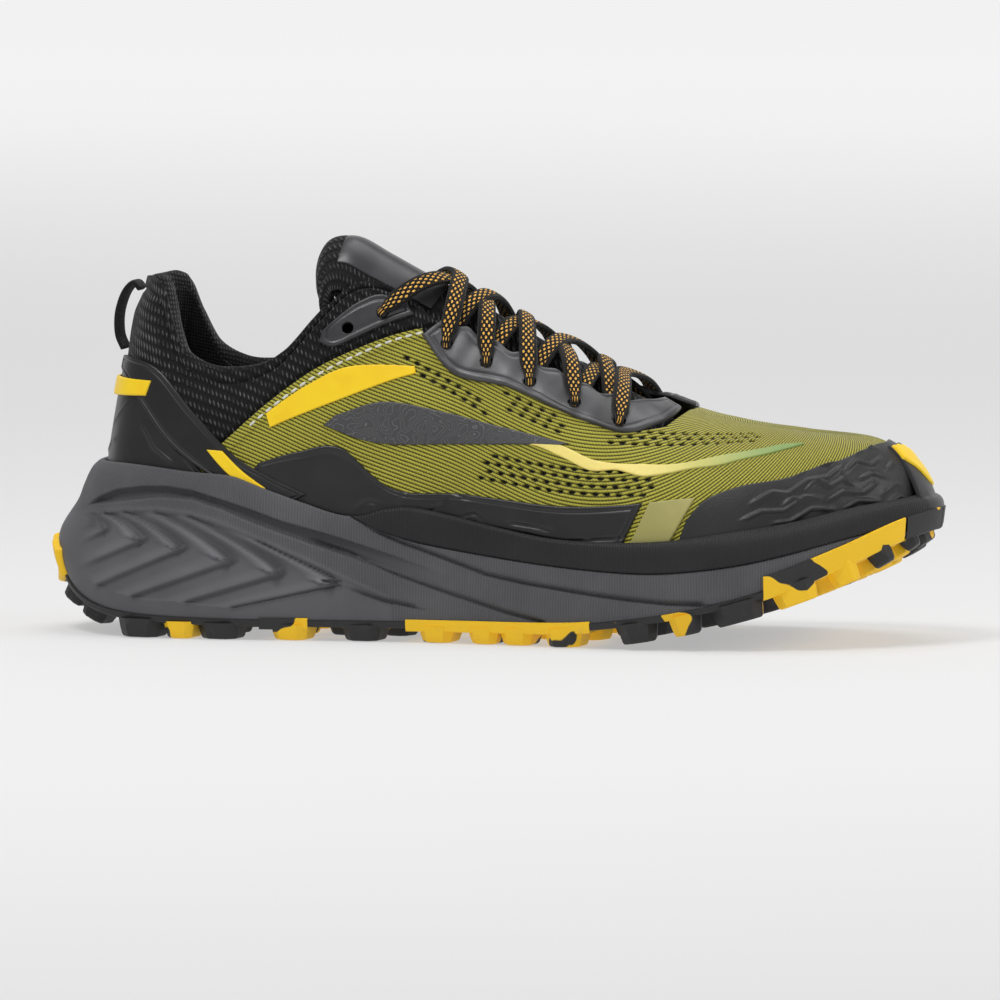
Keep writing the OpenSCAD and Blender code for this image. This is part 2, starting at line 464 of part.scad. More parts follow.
// Strap from the heel top down to the sole, and the moulded counter behind it
strap_high = [[0.07, 0.36], [0.13, 0.358], [0.195, 0.338], [0.254, 0.25], [0.296, 0.166], [0.33, 0.118],
  [0.36, 0.082]];
strap_low = [[0.07, 0.335], [0.13, 0.315], [0.175, 0.268], [0.222, 0.19], [0.265, 0.122], [0.3, 0.066],
  [0.335, 0.02]];
module heel_strap(medial) {
  color([0.16, 0.16, 0.17]) side_panel(medial, strap_low, strap_high, 22, 2, [second_d, second_d],
    [second_top, second_top]);
}
module heel_strap_lateral() { heel_strap(false); }
module heel_strap_medial() { heel_strap(true); }
module heel_counter() {
  top = [[0, 0.36], [0.07, 0.355], [0.12, 0.347], [0.16, 0.318], [0.2, 0.252], [0.24, 0.175],
    [0.265, 0.118]];
  foot = [for (p = top) [p[0] * 0.98, 0.005]];
  function whole(p) = concat([for (i = [len(p) - 1:-1:1]) [-p[i][0], p[i][1]]], p);
  color([0.19, 0.19, 0.2]) panel(whole(foot), whole(top), 34, 4, over, over_top);
}
third_d = [second_top + gap, second_top + gap];
third_top = [second_top + gap + 0.3, second_top + gap + 0.3];
module heel_accent() {
  color([0.98, 0.85, 0.1]) panel([[-0.18, 0.288], [-0.09, 0.284], [0, 0.282], [0.09, 0.284], [0.18, 0.288]],
    [[-0.185, 0.318], [-0.09, 0.32], [0, 0.32], [0.09, 0.32], [0.185, 0.318]], 26, 2, third_d, third_top);
}
module side_bar(medial) {
  color([0.98, 0.85, 0.1]) side_panel(medial, [[0.267, 0.185], [0.289, 0.138], [0.31, 0.1]],
    [[0.283, 0.185], [0.304, 0.148], [0.324, 0.112]], 8, 1, third_d, third_top);
}
module side_bar_lateral() { side_bar(false); }
module side_bar_medial() { side_bar(true); }
// Generic side graphics: a grey lozenge, a slanted yellow blaze and a pale streak
print_t = 0.4;
print_top = [overlay_d + print_t, overlay_d + print_t];
module side_emblem(medial) {
  color([0.45, 0.46, 0.44]) side_panel(medial,
    [[0.37, 0.26], [0.42, 0.235], [0.47, 0.255], [0.52, 0.3], [0.58, 0.375]],
    [[0.38, 0.29], [0.42, 0.345], [0.47, 0.355], [0.52, 0.365], [0.59, 0.395]], 16, 2, over, print_top);
}
module side_emblem_lateral() { side_emblem(false); }
module side_emblem_medial() { side_emblem(true); }
module side_print(medial) {
  color([0.98, 0.86, 0.12]) side_panel(medial, [[0.325, 0.24], [0.365, 0.3], [0.4, 0.365], [0.44, 0.42]],
    [[0.32, 0.27], [0.355, 0.35], [0.39, 0.42], [0.437, 0.475]], 12, 2, over, print_top);
}
module side_print_lateral() { side_print(false); }
module side_print_medial() { side_print(true); }
module side_streak(medial) {
  color([0.8, 0.76, 0.45]) side_panel(medial,
    [[0.6, 0.33], [0.66, 0.37], [0.72, 0.42], [0.78, 0.5], [0.83, 0.58]],
    [[0.6, 0.375], [0.66, 0.42], [0.72, 0.48], [0.78, 0.555], [0.83, 0.61]], 16, 1, over, print_top);
}
module side_streak_lateral() { side_streak(false); }
module side_streak_medial() { side_streak(true); }
stitch_t = 0.22;
module seam_stitching(medial) {
  color([0.85, 0.85, 0.8]) side_panel(medial, [for (i = [0:6]) let(t = mix(0.24, 0.6, i / 6))
    [seam_q(t) + 0.007, t]], [for (i = [0:6]) let(t = mix(0.24, 0.6, i / 6)) [seam_q(t) + 0.004, t]], 16, 1,
    [mesh_t + 0.05, mesh_t + 0.05], [mesh_t + 0.05 + stitch_t, mesh_t + 0.05 + stitch_t]);
}
module seam_stitching_lateral() { seam_stitching(false); }
module seam_stitching_medial() { seam_stitching(true); }

// ---- tongue: a padded blade with its centre line in the X-Z plane
tongue_line = [[212, 72.5], [198, 79.5], [180, 89.4], [160, 100.8], [142, 110.8], [128, 118.2],
  [116, 124.6],
  [106, 129.8], [97.5, 130], [91.8, 125.5], [89.8, 118]];
tongue_half_w = [[0, 12], [0.25, 15], [0.6, 16], [0.8, 16], [0.92, 15], [1, 12]];
tongue_sag = [[0, 8], [0.25, 12.5], [0.6, 14.5], [0.8, 15], [0.92, 14], [1, 11]];
tongue_thick = [[0, 2], [0.3, 3], [0.7, 5.5], [0.9, 6], [1, 4]];
tongue_join = 0.3;
// Past this share of its length the sides of the tongue drop in one direction
tongue_bend = 0.55;
lining_t = 0.8;
// Frame of the centre line at s: [x, z, normal x, normal z]
function tongue_frame(s) = let(p = rail(tongue_line, s, true), a = rail(tongue_line, s - 0.01, true),
  b = rail(tongue_line, s + 0.01, true), t = unit(b - a)) [p[0], p[1], t[1], -t[0]];
// v runs across from -1 to 1 and k is the height above the tongue's face
function tongue_point(s, v, k) = let(f = tongue_frame(s), g = tongue_frame(min(s, tongue_bend)),
  h = curve(tongue_sag, s) * pow(abs(v), 2.1)) [gx * (f[0] + f[2] * k - g[2] * h),
  gy * (curve(spine_y, f[0]) + curve(tongue_half_w, s) * v), gz * (f[1] + f[3] * k - g[3] * h)];
// Layer of the tongue; lo and hi say how far each face lies below the tongue's own face,
// as a share of the padding thickness plus a fixed amount
module tongue_layer(s0, s1, half, na, nb, lo, hi) {
  grid = [for (i = [0:na]) let(s = mix(s0, s1, i / na)) for (j = [0:nb]) [s, half * (1 - 2 * j / nb)]];
  sheet([for (g = grid) tongue_point(g[0], g[1], -hi[0] * curve(tongue_thick, g[0]) - hi[1])],
    [for (g = grid) tongue_point(g[0], g[1], -lo[0] * curve(tongue_thick, g[0]) - lo[1])], na, nb);
}
module tongue_body() { color([0.1, 0.1, 0.1]) tongue_layer(0, 1, 1, 22, 10, [1, 0], [0, 0]); }
module tongue_lining() {
  color([0.05, 0.05, 0.05]) tongue_layer(0, 1, 1, 22, 10, [1, tongue_join + lining_t], [1, tongue_join]);
}
module tongue_patch() {
  color([0.4, 0.4, 0.4]) tongue_layer(0.44, 0.74, 0.74, 12, 6, [0, -tongue_join], [0, -tongue_join - 0.6]);
}

// ---- lace: one closed ribbon, laced through the holes
lace_levels = concat(eyelets, [panel_holes[0]]);
last_level = len(lace_levels) - 1;
below_d = -0.2;
above_d = 4.1;
// Radius the lace is gathered to inside a hole, as a share of the hole's diameter
hole_gather = 0.28;
hole_ring = lace_hole_d * hole_gather;
// [point, surface normal] at across position a (-1 lateral edge, 1 medial edge) and depth d
function throat_point(u, hole_t, a, d) = let(t = 1 - (1 - hole_t) * abs(a), q = a < 0 ? u : 2 - u)
  [raw(q, t) + normal(q, t) * d, normal(q, t)];
// A leg from level i on one side to level j on the other; side is -1 lateral, 1 medial
function leg(i, j, side, d) = [for (k = [0:len(d) - 1]) let(f = d[k][0], a = side * (1 - 2 * f),
  e = lace_levels[i], g = lace_levels[j], u = mix(e[0], g[0], j == last_level ? pow(f, 2.2) : f))
  throat_point(u, mix(e[1], g[1], f), a, d[k][1])];
function hole_points(i, side, up) = [for (d = up ? [0.3, 1.9, 3.9] : [3.9, 1.9, 0.3])
  let(e = lace_levels[i]) throat_point(e[0], e[1], side, d)];
function over_leg(h) = [[0.09, above_d], [0.2, above_d - 0.2], [0.35, mix(above_d, h, 0.6)], [0.5, h],
  [0.64, mix(h, 0.6, 0.45)], [0.78, 0.5], [0.91, below_d]];
function last_leg(h) = [[0.09, above_d], [0.2, above_d - 0.2], [0.35, mix(above_d, h, 0.6)], [0.5, h],
  [0.66, mix(h, above_d, 0.5)], [0.8, above_d - 0.2], [0.91, above_d]];
function under_leg(h) = [[0.09, below_d], [0.2, below_d + 0.3], [0.35, mix(below_d, h, 0.7)], [0.5, h],
  [0.65, mix(below_d, h, 0.7)], [0.8, below_d + 0.3], [0.91, below_d]];
// One half of the lace from the bar to the top hole; its entries are [point, normal, in hole, turn]
function tag(list, w, s) = [for (p = list) [p[0], p[1], w, s]];
function half_lace(side, h, hu) = concat(
  tag(hole_points(0, side, false), 1, 1), tag(leg(0, 1, side, under_leg(hu)), 0, -1),
  tag(hole_points(1, -side, true), 1, -1), tag(leg(1, 2, -side, over_leg(h)), 0, 1),
  tag(hole_points(2, side, true), 1, 1), tag(leg(2, 3, side, over_leg(h)), 0, -1),
  tag(hole_points(3, -side, true), 1, -1), tag(leg(3, 4, -side, over_leg(h)), 0, 1),
  tag(hole_points(4, side, true), 1, 1), tag(leg(4, 5, side, last_leg(h)), 0, -1),
  tag([for (d = [3.9, 1.9, 0.3, -0.6]) throat_point(lace_levels[last_level][0],
    lace_levels[last_level][1], -side, d)], 1, -1));
low_cross = 0.4;
high_cross = 2.5;
bar = leg(0, 0, -1, [[0.09, above_d], [0.25, above_d - 0.2], [0.5, above_d - 0.8],
  [0.75, above_d - 0.2], [0.91, above_d]]);
medial_half = half_lace(1, low_cross, 0.3);
lateral_half = half_lace(-1, high_cross, 3.2);
function backward(p) = [for (i = [len(p) - 1:-1:0]) [p[i][0], p[i][1], p[i][2], -p[i][3]]];
lace_path = concat(backward(lateral_half), tag(bar, 0, 1), medial_half);
function travel(i) = unit(lace_path[min(i + 1, len(lace_path) - 1)][0] - lace_path[max(i - 1, 0)][0]);
// Direction of the nearest stretch of lace outside a hole, so a hole keeps its leg's width direction
function flat_side(i, k = 0) = lace_path[i][2] == 0 ? cross(lace_path[i][1], travel(i)) : undef;
function leg_side(i) = let(near = [for (k = [0:4]) each [i - k, i + k]],
  ok = [for (n = near) if (n >= 0 && n < len(lace_path) && lace_path[n][2] == 0) n])
  unit(flat_side(ok[0]) * lace_path[ok[0]][3]);
module lace() {
  n = len(lace_path) - 1;
  ring = 6;
  rows = [for (i = [0:n]) let(p = lace_path[i], b = leg_side(i), t = travel(i), c = unit(cross(t, b)),
    e = unit(cross(c, t)), w = p[2] == 1 ? hole_ring : lace_w / 2, h = p[2] == 1 ? hole_ring : lace_t / 2)
    [for (a = [0:60:300]) p[0] + e * w * cos(a) - c * h * sin(a) / sin(60)]];
  function at(i, k) = i * ring + k % ring;
  color([0.12, 0.11, 0.08]) polyhedron(points = [for (r = rows) each r], faces = [
    for (i = [0:n - 1], k = [0:ring - 1]) each tri(at(i, k), at(i, k + 1), at(i + 1, k + 1), at(i + 1, k)),
    [at(0, 2), at(0, 1), at(0, 0)], [at(0, 3), at(0, 2), at(0, 0)], [at(0, 4), at(0, 3), at(0, 0)],
    [at(0, 5), at(0, 4), at(0, 0)], [at(n, 0), at(n, 1), at(n, 2)], [at(n, 0), at(n, 2), at(n, 3)],
    [at(n, 0), at(n, 3), at(n, 4)], [at(n, 0), at(n, 4), at(n, 5)]]);
}

// ---- pull tab: a webbing loop behind the heel
tab_path = [[31.2, 112.6], [29, 114.5], [25.8, 111.2], [23.6, 104.5], [23.6, 97.5], [25.6, 92.6]];
module pull_tab() {
  n = 16;
  pts = [for (i = [0:n]) rail(tab_path, i / n, true)];
  function dir(i) = unit(pts[min(i + 1, n)] - pts[max(i - 1, 0)]);
  color([0.07, 0.07, 0.07]) loft([for (i = [n:-1:0]) let(p = pts[i], d = dir(i), s = sin(180 * i / n),
    w = tab_w / 2 * mix(0.3, 1, s), h = tab_t / 2, a = p + [d[1], -d[0]] * h, b = p - [d[1], -d[0]] * h)
    [[gx * b[0], -w, gz * b[1]], [gx * a[0], -w, gz * a[1]],
      [gx * a[0], w, gz * a[1]], [gx * b[0], w, gz * b[1]]]]);
}

translate(to_origin) outsole_rubber();
translate(to_origin) outsole_yellow_rear();
translate(to_origin) outsole_yellow_heel();
translate(to_origin) outsole_yellow_midfoot();
translate(to_origin) outsole_yellow_forefoot();
translate(to_origin) toe_bumper();
translate(to_origin) toe_bumper_accent();
translate(to_origin) midsole_lower_foam();
translate(to_origin) midsole_upper_foam();
translate(to_origin) strobel_board();
translate(to_origin) insole();
translate(to_origin) heel_stiffener();
translate(to_origin) toe_puff();
translate(to_origin) collar_foam();
translate(to_origin) collar_lining();
translate(to_origin) collar_binding();
translate(to_origin) vamp_mesh();
translate(to_origin) heel_mesh();
translate(to_origin) mudguard_lateral();
translate(to_origin) mudguard_medial();
translate(to_origin) side_band_lateral();
translate(to_origin) side_band_medial();
translate(to_origin) toe_cap();
translate(to_origin) eyestay_lateral();
translate(to_origin) eyestay_medial();
translate(to_origin) eyelet_panel_lateral();
translate(to_origin) eyelet_panel_medial();
translate(to_origin) heel_counter();
translate(to_origin) heel_strap_lateral();
translate(to_origin) heel_strap_medial();
translate(to_origin) heel_accent();
translate(to_origin) side_bar_lateral();
translate(to_origin) side_bar_medial();
translate(to_origin) side_emblem_lateral();
translate(to_origin) side_emblem_medial();
translate(to_origin) side_print_lateral();
translate(to_origin) side_print_medial();
translate(to_origin) side_streak_lateral();
translate(to_origin) side_streak_medial();
translate(to_origin) seam_stitching_lateral();
translate(to_origin) seam_stitching_medial();
translate(to_origin) tongue_body();
translate(to_origin) tongue_lining();
translate(to_origin) tongue_patch();
translate(to_origin) lace();
translate(to_origin) pull_tab();
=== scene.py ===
import math
import bpy
import numpy as np
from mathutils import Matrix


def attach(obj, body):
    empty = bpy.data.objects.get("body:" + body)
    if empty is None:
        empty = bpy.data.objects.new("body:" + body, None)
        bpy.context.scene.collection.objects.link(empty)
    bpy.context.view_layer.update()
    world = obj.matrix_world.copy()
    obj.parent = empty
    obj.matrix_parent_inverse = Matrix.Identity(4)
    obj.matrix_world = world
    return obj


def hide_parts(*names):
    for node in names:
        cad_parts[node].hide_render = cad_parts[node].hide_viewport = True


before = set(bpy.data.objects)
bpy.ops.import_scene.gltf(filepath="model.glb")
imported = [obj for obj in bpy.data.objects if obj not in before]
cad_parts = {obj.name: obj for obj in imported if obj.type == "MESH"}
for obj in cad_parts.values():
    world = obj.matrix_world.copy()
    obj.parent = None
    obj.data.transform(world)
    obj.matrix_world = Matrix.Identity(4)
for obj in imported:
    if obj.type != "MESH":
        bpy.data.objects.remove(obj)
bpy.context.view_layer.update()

# Design coordinates are millimetres from just behind the heel; ORIGIN takes them to the frame.
ORIGIN = np.array([150.69, 1.145, 0.0])
rng = np.random.default_rng(7)

# ---------------------------------------------------------------- the last's tables
upper_lat = [[22, 0], [24, -13], [32, -24.5], [50, -31], [75, -32.5], [105, -31.5], [135, -33],
             [165, -38], [195, -43.5], [222, -45.5], [248, -41], [269, -31], [285, -15.5], [292, 4]]
upper_med = [[22, 0], [24, 13], [32, 24.5], [50, 31], [75, 31], [105, 27.5], [135, 26.5],
             [165, 32], [195, 41.5], [223, 47], [249, 46], [271, 38], [286, 24.5], [292, 4]]
sole_lat = [[4, 0], [8, -18], [20, -32], [42, -40.5], [75, -41], [105, -38.5], [135, -38.5],
            [165, -43], [195, -49], [222, -52], [249, -48.5], [272, -37.5], [290, -20], [299.6, 4]]
sole_med = [[4, 0], [8, 18], [20, 31.5], [42, 39], [75, 38], [105, 33.5], [135, 32],
            [165, 38], [195, 48], [223, 54], [251, 52.5], [275, 44], [292, 28.5], [299.6, 4]]
bite_line = [[4, 56.5], [24, 56.5], [50, 54.5], [70, 53.2], [82, 49.4], [94, 45.2], [106, 41.4],
             [114, 41], [122, 43.2], [131, 44], [145, 41.8], [160, 38.6], [180, 35.2], [202, 34.3],
             [220, 35.2], [240, 38], [260, 41.2], [280, 45.6], [299, 48.4]]
ridge_line = [[50, 172], [80, 158], [104, 141], [120, 127.5], [140, 115], [160, 103.5], [180, 92],
              [200, 81], [214, 75], [230, 70.8], [248, 68], [264, 66.5]]
foam_split = [[110, 41.2], [116, 38.2], [121, 36], [128, 34], [136, 32.2], [156, 29.2], [178, 26.6],
              [204, 24.8], [220, 25], [240, 27.3], [256, 30.6], [270, 34.4], [285, 38.3], [299, 41.2]]
sole_under = [[4, 24], [8, 19], [14, 14], [21, 10.4], [30, 8.2], [45, 6.9], [70, 6.2], [108, 6.2],
              [150, 6.4], [185, 7], [205, 9], [226, 12.6], [251, 19.2], [274, 28.6], [290, 36.4], [299, 39.4]]
ground_line = [[4, 17], [8, 12.5], [14, 7.6], [21, 3.2], [30, 0.4], [38, 0], [60, 0], [150, 0], [192, 0],
               [205, 1.4], [226, 5], [251, 11.6], [274, 20.4], [290, 29.4], [299, 36]]
bed_line = [[4, 46.4], [50, 45.3], [75, 43.4], [95, 40.2], [110, 37.8], [122, 36.9], [145, 35.6],
            [160, 33.4], [180, 30.5], [202, 29.5], [220, 30.3], [240, 33], [260, 36.3], [280, 40.5], [299, 43.4]]
spine_y = [[50, 0], [110, -2], [150, -2], [200, 0], [240, 2], [264, 4]]
side_power = [[60, 1.7], [90, 1.95], [130, 2.1], [160, 2.1], [190, 2.05], [215, 2.1], [240, 2.4], [264, 3]]
rise_power = [[50, 1.2], [90, 1.4], [130, 1.8], [160, 1.9], [190, 1.9], [215, 2], [240, 2.1], [264, 2.3]]
spine_map = [[22, 60], [50, 74], [75, 92.5], [105, 116], [160, 159.5], [225, 211], [292, 264]]
top_t = [[0, 0.5], [0.06, 0.505], [0.12, 0.507], [0.165, 0.487], [0.195, 0.432], [0.225, 0.373],
         [0.255, 0.349], [0.28, 0.348], [0.305, 0.364], [0.33, 0.41], [0.355, 0.52], [0.38, 0.65], [0.4, 0.7],
         [0.42, 0.705], [0.456, 0.655]]
heel_flare = [[0, 0.86], [0.12, 0.97], [0.24, 1], [0.36, 0.9], [0.6, 0.54], [0.75, 0.4], [0.92, 0.2], [1, 0]]
fore_flare = [[0, 0.8], [0.15, 0.94], [0.35, 1], [0.55, 0.97], [0.75, 0.86], [0.9, 0.55], [1, 0]]


def curve(p, x):
    p = np.asarray(p, float)
    x = np.asarray(x, float)
    n = len(p)
    i = np.clip(np.searchsorted(p[:, 0], x, side="right") - 1, 0, n - 2)
    a, b = np.maximum(np.arange(n) - 1, 0), np.minimum(np.arange(n) + 1, n - 1)
    sl = (p[b, 1] - p[a, 1]) / (p[b, 0] - p[a, 0])
    h = p[i + 1, 0] - p[i, 0]
    t = np.clip((x - p[i, 0]) / h, 0, 1)
    t2, t3 = t * t, t * t * t
    return (p[i, 1] * (2 * t3 - 3 * t2 + 1) + p[i + 1, 1] * (3 * t2 - 2 * t3)
            + h * sl[i] * (t3 - 2 * t2 + t) + h * sl[i + 1] * (t3 - t2))


def ring_of(a, b):
    return np.concatenate([a[:-1], b[:0:-1]])


STATIONS = len(upper_lat) - 1
upper_ring = ring_of(np.array(upper_lat, float), np.array(upper_med, float))
sole_ring = ring_of(np.array(sole_lat, float), np.array(sole_med, float))


def on_ring(r, q):
    n = 2 * STATIONS
    t = np.asarray(q, float) * STATIONS + 2 * n
    i = np.floor(t).astype(int)
    f = (t - i)[..., None]
    a, b, c, d = r[(i - 1) % n], r[i % n], r[(i + 1) % n], r[(i + 2) % n]
    return .5 * (2 * b + (c - a) * f + (2 * a - 5 * b + 4 * c - d) * f * f + (3 * b - a - 3 * c + d) * f ** 3)


def raw(q, t):
    q, t = np.broadcast_arrays(np.asarray(q, float), np.asarray(t, float))
    f = on_ring(upper_ring, q)
    m = (f[..., 0] + on_ring(upper_ring, 2 - q)[..., 0]) / 2
    s = curve(spine_map, m)
    sy, n, p = curve(spine_y, s), curve(side_power, s), curve(rise_power, s)
    top, low = curve(ridge_line, s), curve(bed_line, m)
    a = np.pi / 2 * np.clip(t, 0, 1)
    r, h = np.maximum(np.cos(a), 0) ** (2 / n), np.maximum(np.sin(a), 0) ** (2 / p)
    return np.stack([s + (f[..., 0] - s) * r, sy + (f[..., 1] - sy) * r, low + (top - low) * h], -1)


def unit(v):
    return v / np.maximum(np.linalg.norm(v, axis=-1, keepdims=True), 1e-9)


def normal(q, t):
    q, t = np.broadcast_arrays(np.asarray(q, float), np.asarray(t, float))

    def side(q, t):
        u = np.clip(t, .01, .965)
        return unit(np.cross(raw(q + .002, u) - raw(q - .002, u), raw(q, u + .01) - raw(q, u - .01)))
    a, b = side(q, t), side(2 - q, t)
    return unit(a + (b - a) * np.clip((t - .965) / .07, 0, .5)[..., None])


def at_height(q, z):
    m = (on_ring(upper_ring, q)[..., 0] + on_ring(upper_ring, 2 - q)[..., 0]) / 2
    s = curve(spine_map, m)
    low, top = curve(bed_line, m), curve(ridge_line, s)
    h = np.clip((z - low) / (top - low), 0, 1)
    return np.arcsin(h ** (curve(rise_power, s) / 2)) * 2 / np.pi


# Arc lengths over the surface: u along the shoe, v up the side
QS, TS = np.linspace(0, 1, 241), np.linspace(0, 1, 121)
_G = raw(QS[:, None], TS[None, :])
ARC_V = np.concatenate([np.zeros((241, 1)), np.cumsum(np.linalg.norm(np.diff(_G, axis=1), axis=2), 1)], 1)
ARC_U = np.concatenate([[0], np.cumsum(np.linalg.norm(np.diff(_G[:, 30], axis=0), axis=1))])


def flat(q, t):
    q, t = np.broadcast_arrays(np.asarray(q, float) % 2, np.asarray(t, float))
    q = np.where(q > 1, 2 - q, q)
    a, b = q * 240, np.clip(t, 0, 1) * 120
    i, j = np.clip(a.astype(int), 0, 239), np.clip(b.astype(int), 0, 119)
    f, g = a - i, b - j
    v = ((ARC_V[i, j] * (1 - f) + ARC_V[i + 1, j] * f) * (1 - g)
         + (ARC_V[i, j + 1] * (1 - f) + ARC_V[i + 1, j + 1] * f) * g)
    return np.stack([np.interp(q, QS, ARC_U), v], -1)


def rail(p, s, smooth=True):
    p = np.asarray(p, float)
    s = np.asarray(s, float)
    n = len(p) - 1
    u = np.clip(s, 0, 1) * n
    i = np.minimum(u.astype(int), n - 1)
    f = (u - i)[..., None]
    if not smooth:
        return p[i] + (p[i + 1] - p[i]) * f
    a = np.where((i == 0)[..., None], 2 * p[0] - p[1], p[np.maximum(i - 1, 0)])
    d = np.where((i == n - 1)[..., None], 2 * p[n] - p[n - 1], p[np.minimum(i + 2, n)])
    b, c = p[i], p[i + 1]
    return .5 * (2 * b + (c - a) * f + (2 * a - 5 * b + 4 * c - d) * f ** 2 + (3 * b - a - 3 * c + d) * f ** 3)


def spaced(n, k=0.8):
    s = np.linspace(0, 1, n + 1)
    return s - k * np.sin(2 * np.pi * s) / (2 * np.pi)


def smooth01(x):
    x = np.clip(x, 0, 1)
    return x * x * (3 - 2 * x)


def line_distance(p, line):
    """Distance of 2D points from a polyline, and the signed side of its nearest segment."""
    line = np.asarray(line, float)
    best = np.full(p.shape[:-1], 1e9)
    side = np.zeros(p.shape[:-1])
    for a, b in zip(line[:-1], line[1:]):
        d = b - a
        t = np.clip(((p - a) @ d) / max(d @ d, 1e-9), 0, 1)
        r = p - a - t[..., None] * d
        e = np.linalg.norm(r, axis=-1)
        m = e < best
        best = np.where(m, e, best)
        side = np.where(m, np.sign(d[0] * r[..., 1] - d[1] * r[..., 0]), side)
    return best, side


def wave_noise(x, y, seed, size):
    """Smooth random field from a few sine waves."""
    g = np.random.default_rng(seed)
    out = 0
    for k in range(7):
        a, f = g.uniform(0, 2 * np.pi), g.uniform(0.6, 2.0) * 2 * np.pi / size
        out = out + np.sin((x * np.cos(a) + y * np.sin(a)) * f + g.uniform(0, 6.28))
    return out / 7


# ---------------------------------------------------------------- meshes
made = {}


def build(name, verts, faces, mat, slot, body="shoe", nodes=(), uv=None, mark=None, crisp=None):
    me = bpy.data.meshes.new(name)
    v = (np.asarray(verts, float).reshape(-1, 3) - ORIGIN) * 0.001
    me.from_pydata(v.tolist(), [], [list(map(int, f)) for f in faces])
    if uv is not None:
        layer = me.uv_layers.new(name="UVMap")
        idx = np.empty(len(me.loops), int)
        me.loops.foreach_get("vertex_index", idx)
        layer.data.foreach_set("uv", (np.asarray(uv, float).reshape(-1, 2)[idx] * 0.01).ravel())
    # per-point painted light: painted shade where positive, painted highlight where negative
    if mark is not None:
        at = me.attributes.new("mark", "FLOAT", "POINT")
        at.data.foreach_set("value", np.asarray(mark, np.float32).ravel())
    me.validate()
    me.update()
    me.polygons.foreach_set("use_smooth", [True] * len(me.polygons))
    ob = bpy.data.objects.new(name, me)
    bpy.context.scene.collection.objects.link(ob)
    me.materials.append(mat)
    if crisp is not None:
        me.set_sharp_from_angle(angle=math.radians(crisp))
    made[name] = (ob, body, slot, nodes)
    return ob


def grid_faces(na, nb, off=0, flip=False):
    i, j = np.meshgrid(np.arange(na), np.arange(nb), indexing="ij")
    a = off + i * (nb + 1) + j
    f = np.stack([a, a + nb + 1, a + nb + 2, a + 1], -1).reshape(-1, 4)
    return f[:, ::-1] if flip else f


def rim_faces(na, nb, off):
    """Faces that join an outer grid to the inner grid that starts at off."""
    w = nb + 1
    out = []
    for i in range(na):
        out.append([i * w, off + i * w, off + (i + 1) * w, (i + 1) * w])
        out.append([(i + 1) * w + nb, off + (i + 1) * w + nb, off + i * w + nb, i * w + nb])
    for j in range(nb):
        out.append([j + 1, off + j + 1, off + j, j])
        out.append([na * w + j, off + na * w + j, off + na * w + j + 1, na * w + j + 1])
    return np.array(out)


def shell(outer, inner):
    na, nb = outer.shape[0] - 1, outer.shape[1] - 1
    n = (na + 1) * (nb + 1)
    faces = np.concatenate([grid_faces(na, nb), grid_faces(na, nb, n, True), rim_faces(na, nb, n)])
    return np.concatenate([outer.reshape(-1, 3), inner.reshape(-1, 3)]), faces


def flip(p):
    return [[2 - a, b] for a, b in p[::-1]]


def edge_round(P, width):
    """0 at the border of a grid of points, rising to 1 over width with a round shoulder."""
    du = np.linalg.norm(np.diff(P, axis=0), axis=2)
    dv = np.linalg.norm(np.diff(P, axis=1), axis=2)
    cu = np.concatenate([np.zeros((1, P.shape[1])), np.cumsum(du, 0)])
    cv = np.concatenate([np.zeros((P.shape[0], 1)), np.cumsum(dv, 1)], 1)
    e = np.minimum(np.minimum(cu, cu[-1:] - cu), np.minimum(cv, cv[:, -1:] - cv))
    x = np.clip(e / width, 0, 1)
    return np.sqrt(np.maximum(1 - (1 - x) ** 2, 0)), e


def panel(name, low, high, na, nb, lo, hi, mat, slot, medial=False, smooth=True, width=0.7, shape=None,
          nodes=None, mark=None, sink=0.25, body="shoe"):
    if medial:
        low, high = flip(low), flip(high)
    s, r = spaced(na), spaced(nb)
    a, b = rail(low, s, smooth)[:, None], rail(high, s, smooth)[:, None]
    qt = a + (b - a) * r[None, :, None]
    q, t = qt[..., 0], qt[..., 1]
    P, N = raw(q, t), normal(q, t)
    prof, e = edge_round(P, width)
    F = flat(q, t)
    D = lo + (hi - lo) * prof
    if shape is not None:
        D = D + shape(F, P, e) * prof
    outer = P + N * D[..., None]
    inner = P + N * (lo - sink)
    v, f = shell(outer, inner)
    m = None
    if mark is not None:
        m = np.concatenate([mark(F, P, e).ravel(), np.zeros(F.shape[0] * F.shape[1])])
    return build(name, v, f, mat, slot, body, nodes if nodes is not None else (name,),
                 np.concatenate([F.reshape(-1, 2)] * 2), m)


def cut(ob, cutters):
    """Punches round holes: cutters are (point, direction, radius) in design millimetres."""
    vs, fs = [], []
    for p, n, r in cutters:
        n = unit(np.asarray(n, float))
        e = unit(np.cross(n, [0.3, 0.5, 0.8]))
        g = np.cross(n, e)
        k = len(vs)
        a = np.linspace(0, 2 * np.pi, 25)[:-1]
        for h in (-5, 7):
            for x in a:
                vs.append(p + n * h + (e * np.cos(x) + g * np.sin(x)) * r)
        for i in range(24):
            fs.append([k + i, k + (i + 1) % 24, k + 24 + (i + 1) % 24, k + 24 + i])
        fs.append([k + i for i in range(23, -1, -1)])
        fs.append([k + 24 + i for i in range(24)])
    me = bpy.data.meshes.new("cutter")
    me.from_pydata(((np.array(vs) - ORIGIN) * 0.001).tolist(), [], fs)
    c = bpy.data.objects.new("cutter", me)
    bpy.context.scene.collection.objects.link(c)
    m = ob.modifiers.new("cut", "BOOLEAN")
    m.operation, m.object, m.solver = "DIFFERENCE", c, "EXACT"
    bake_modifiers(ob)
    bpy.data.objects.remove(c)


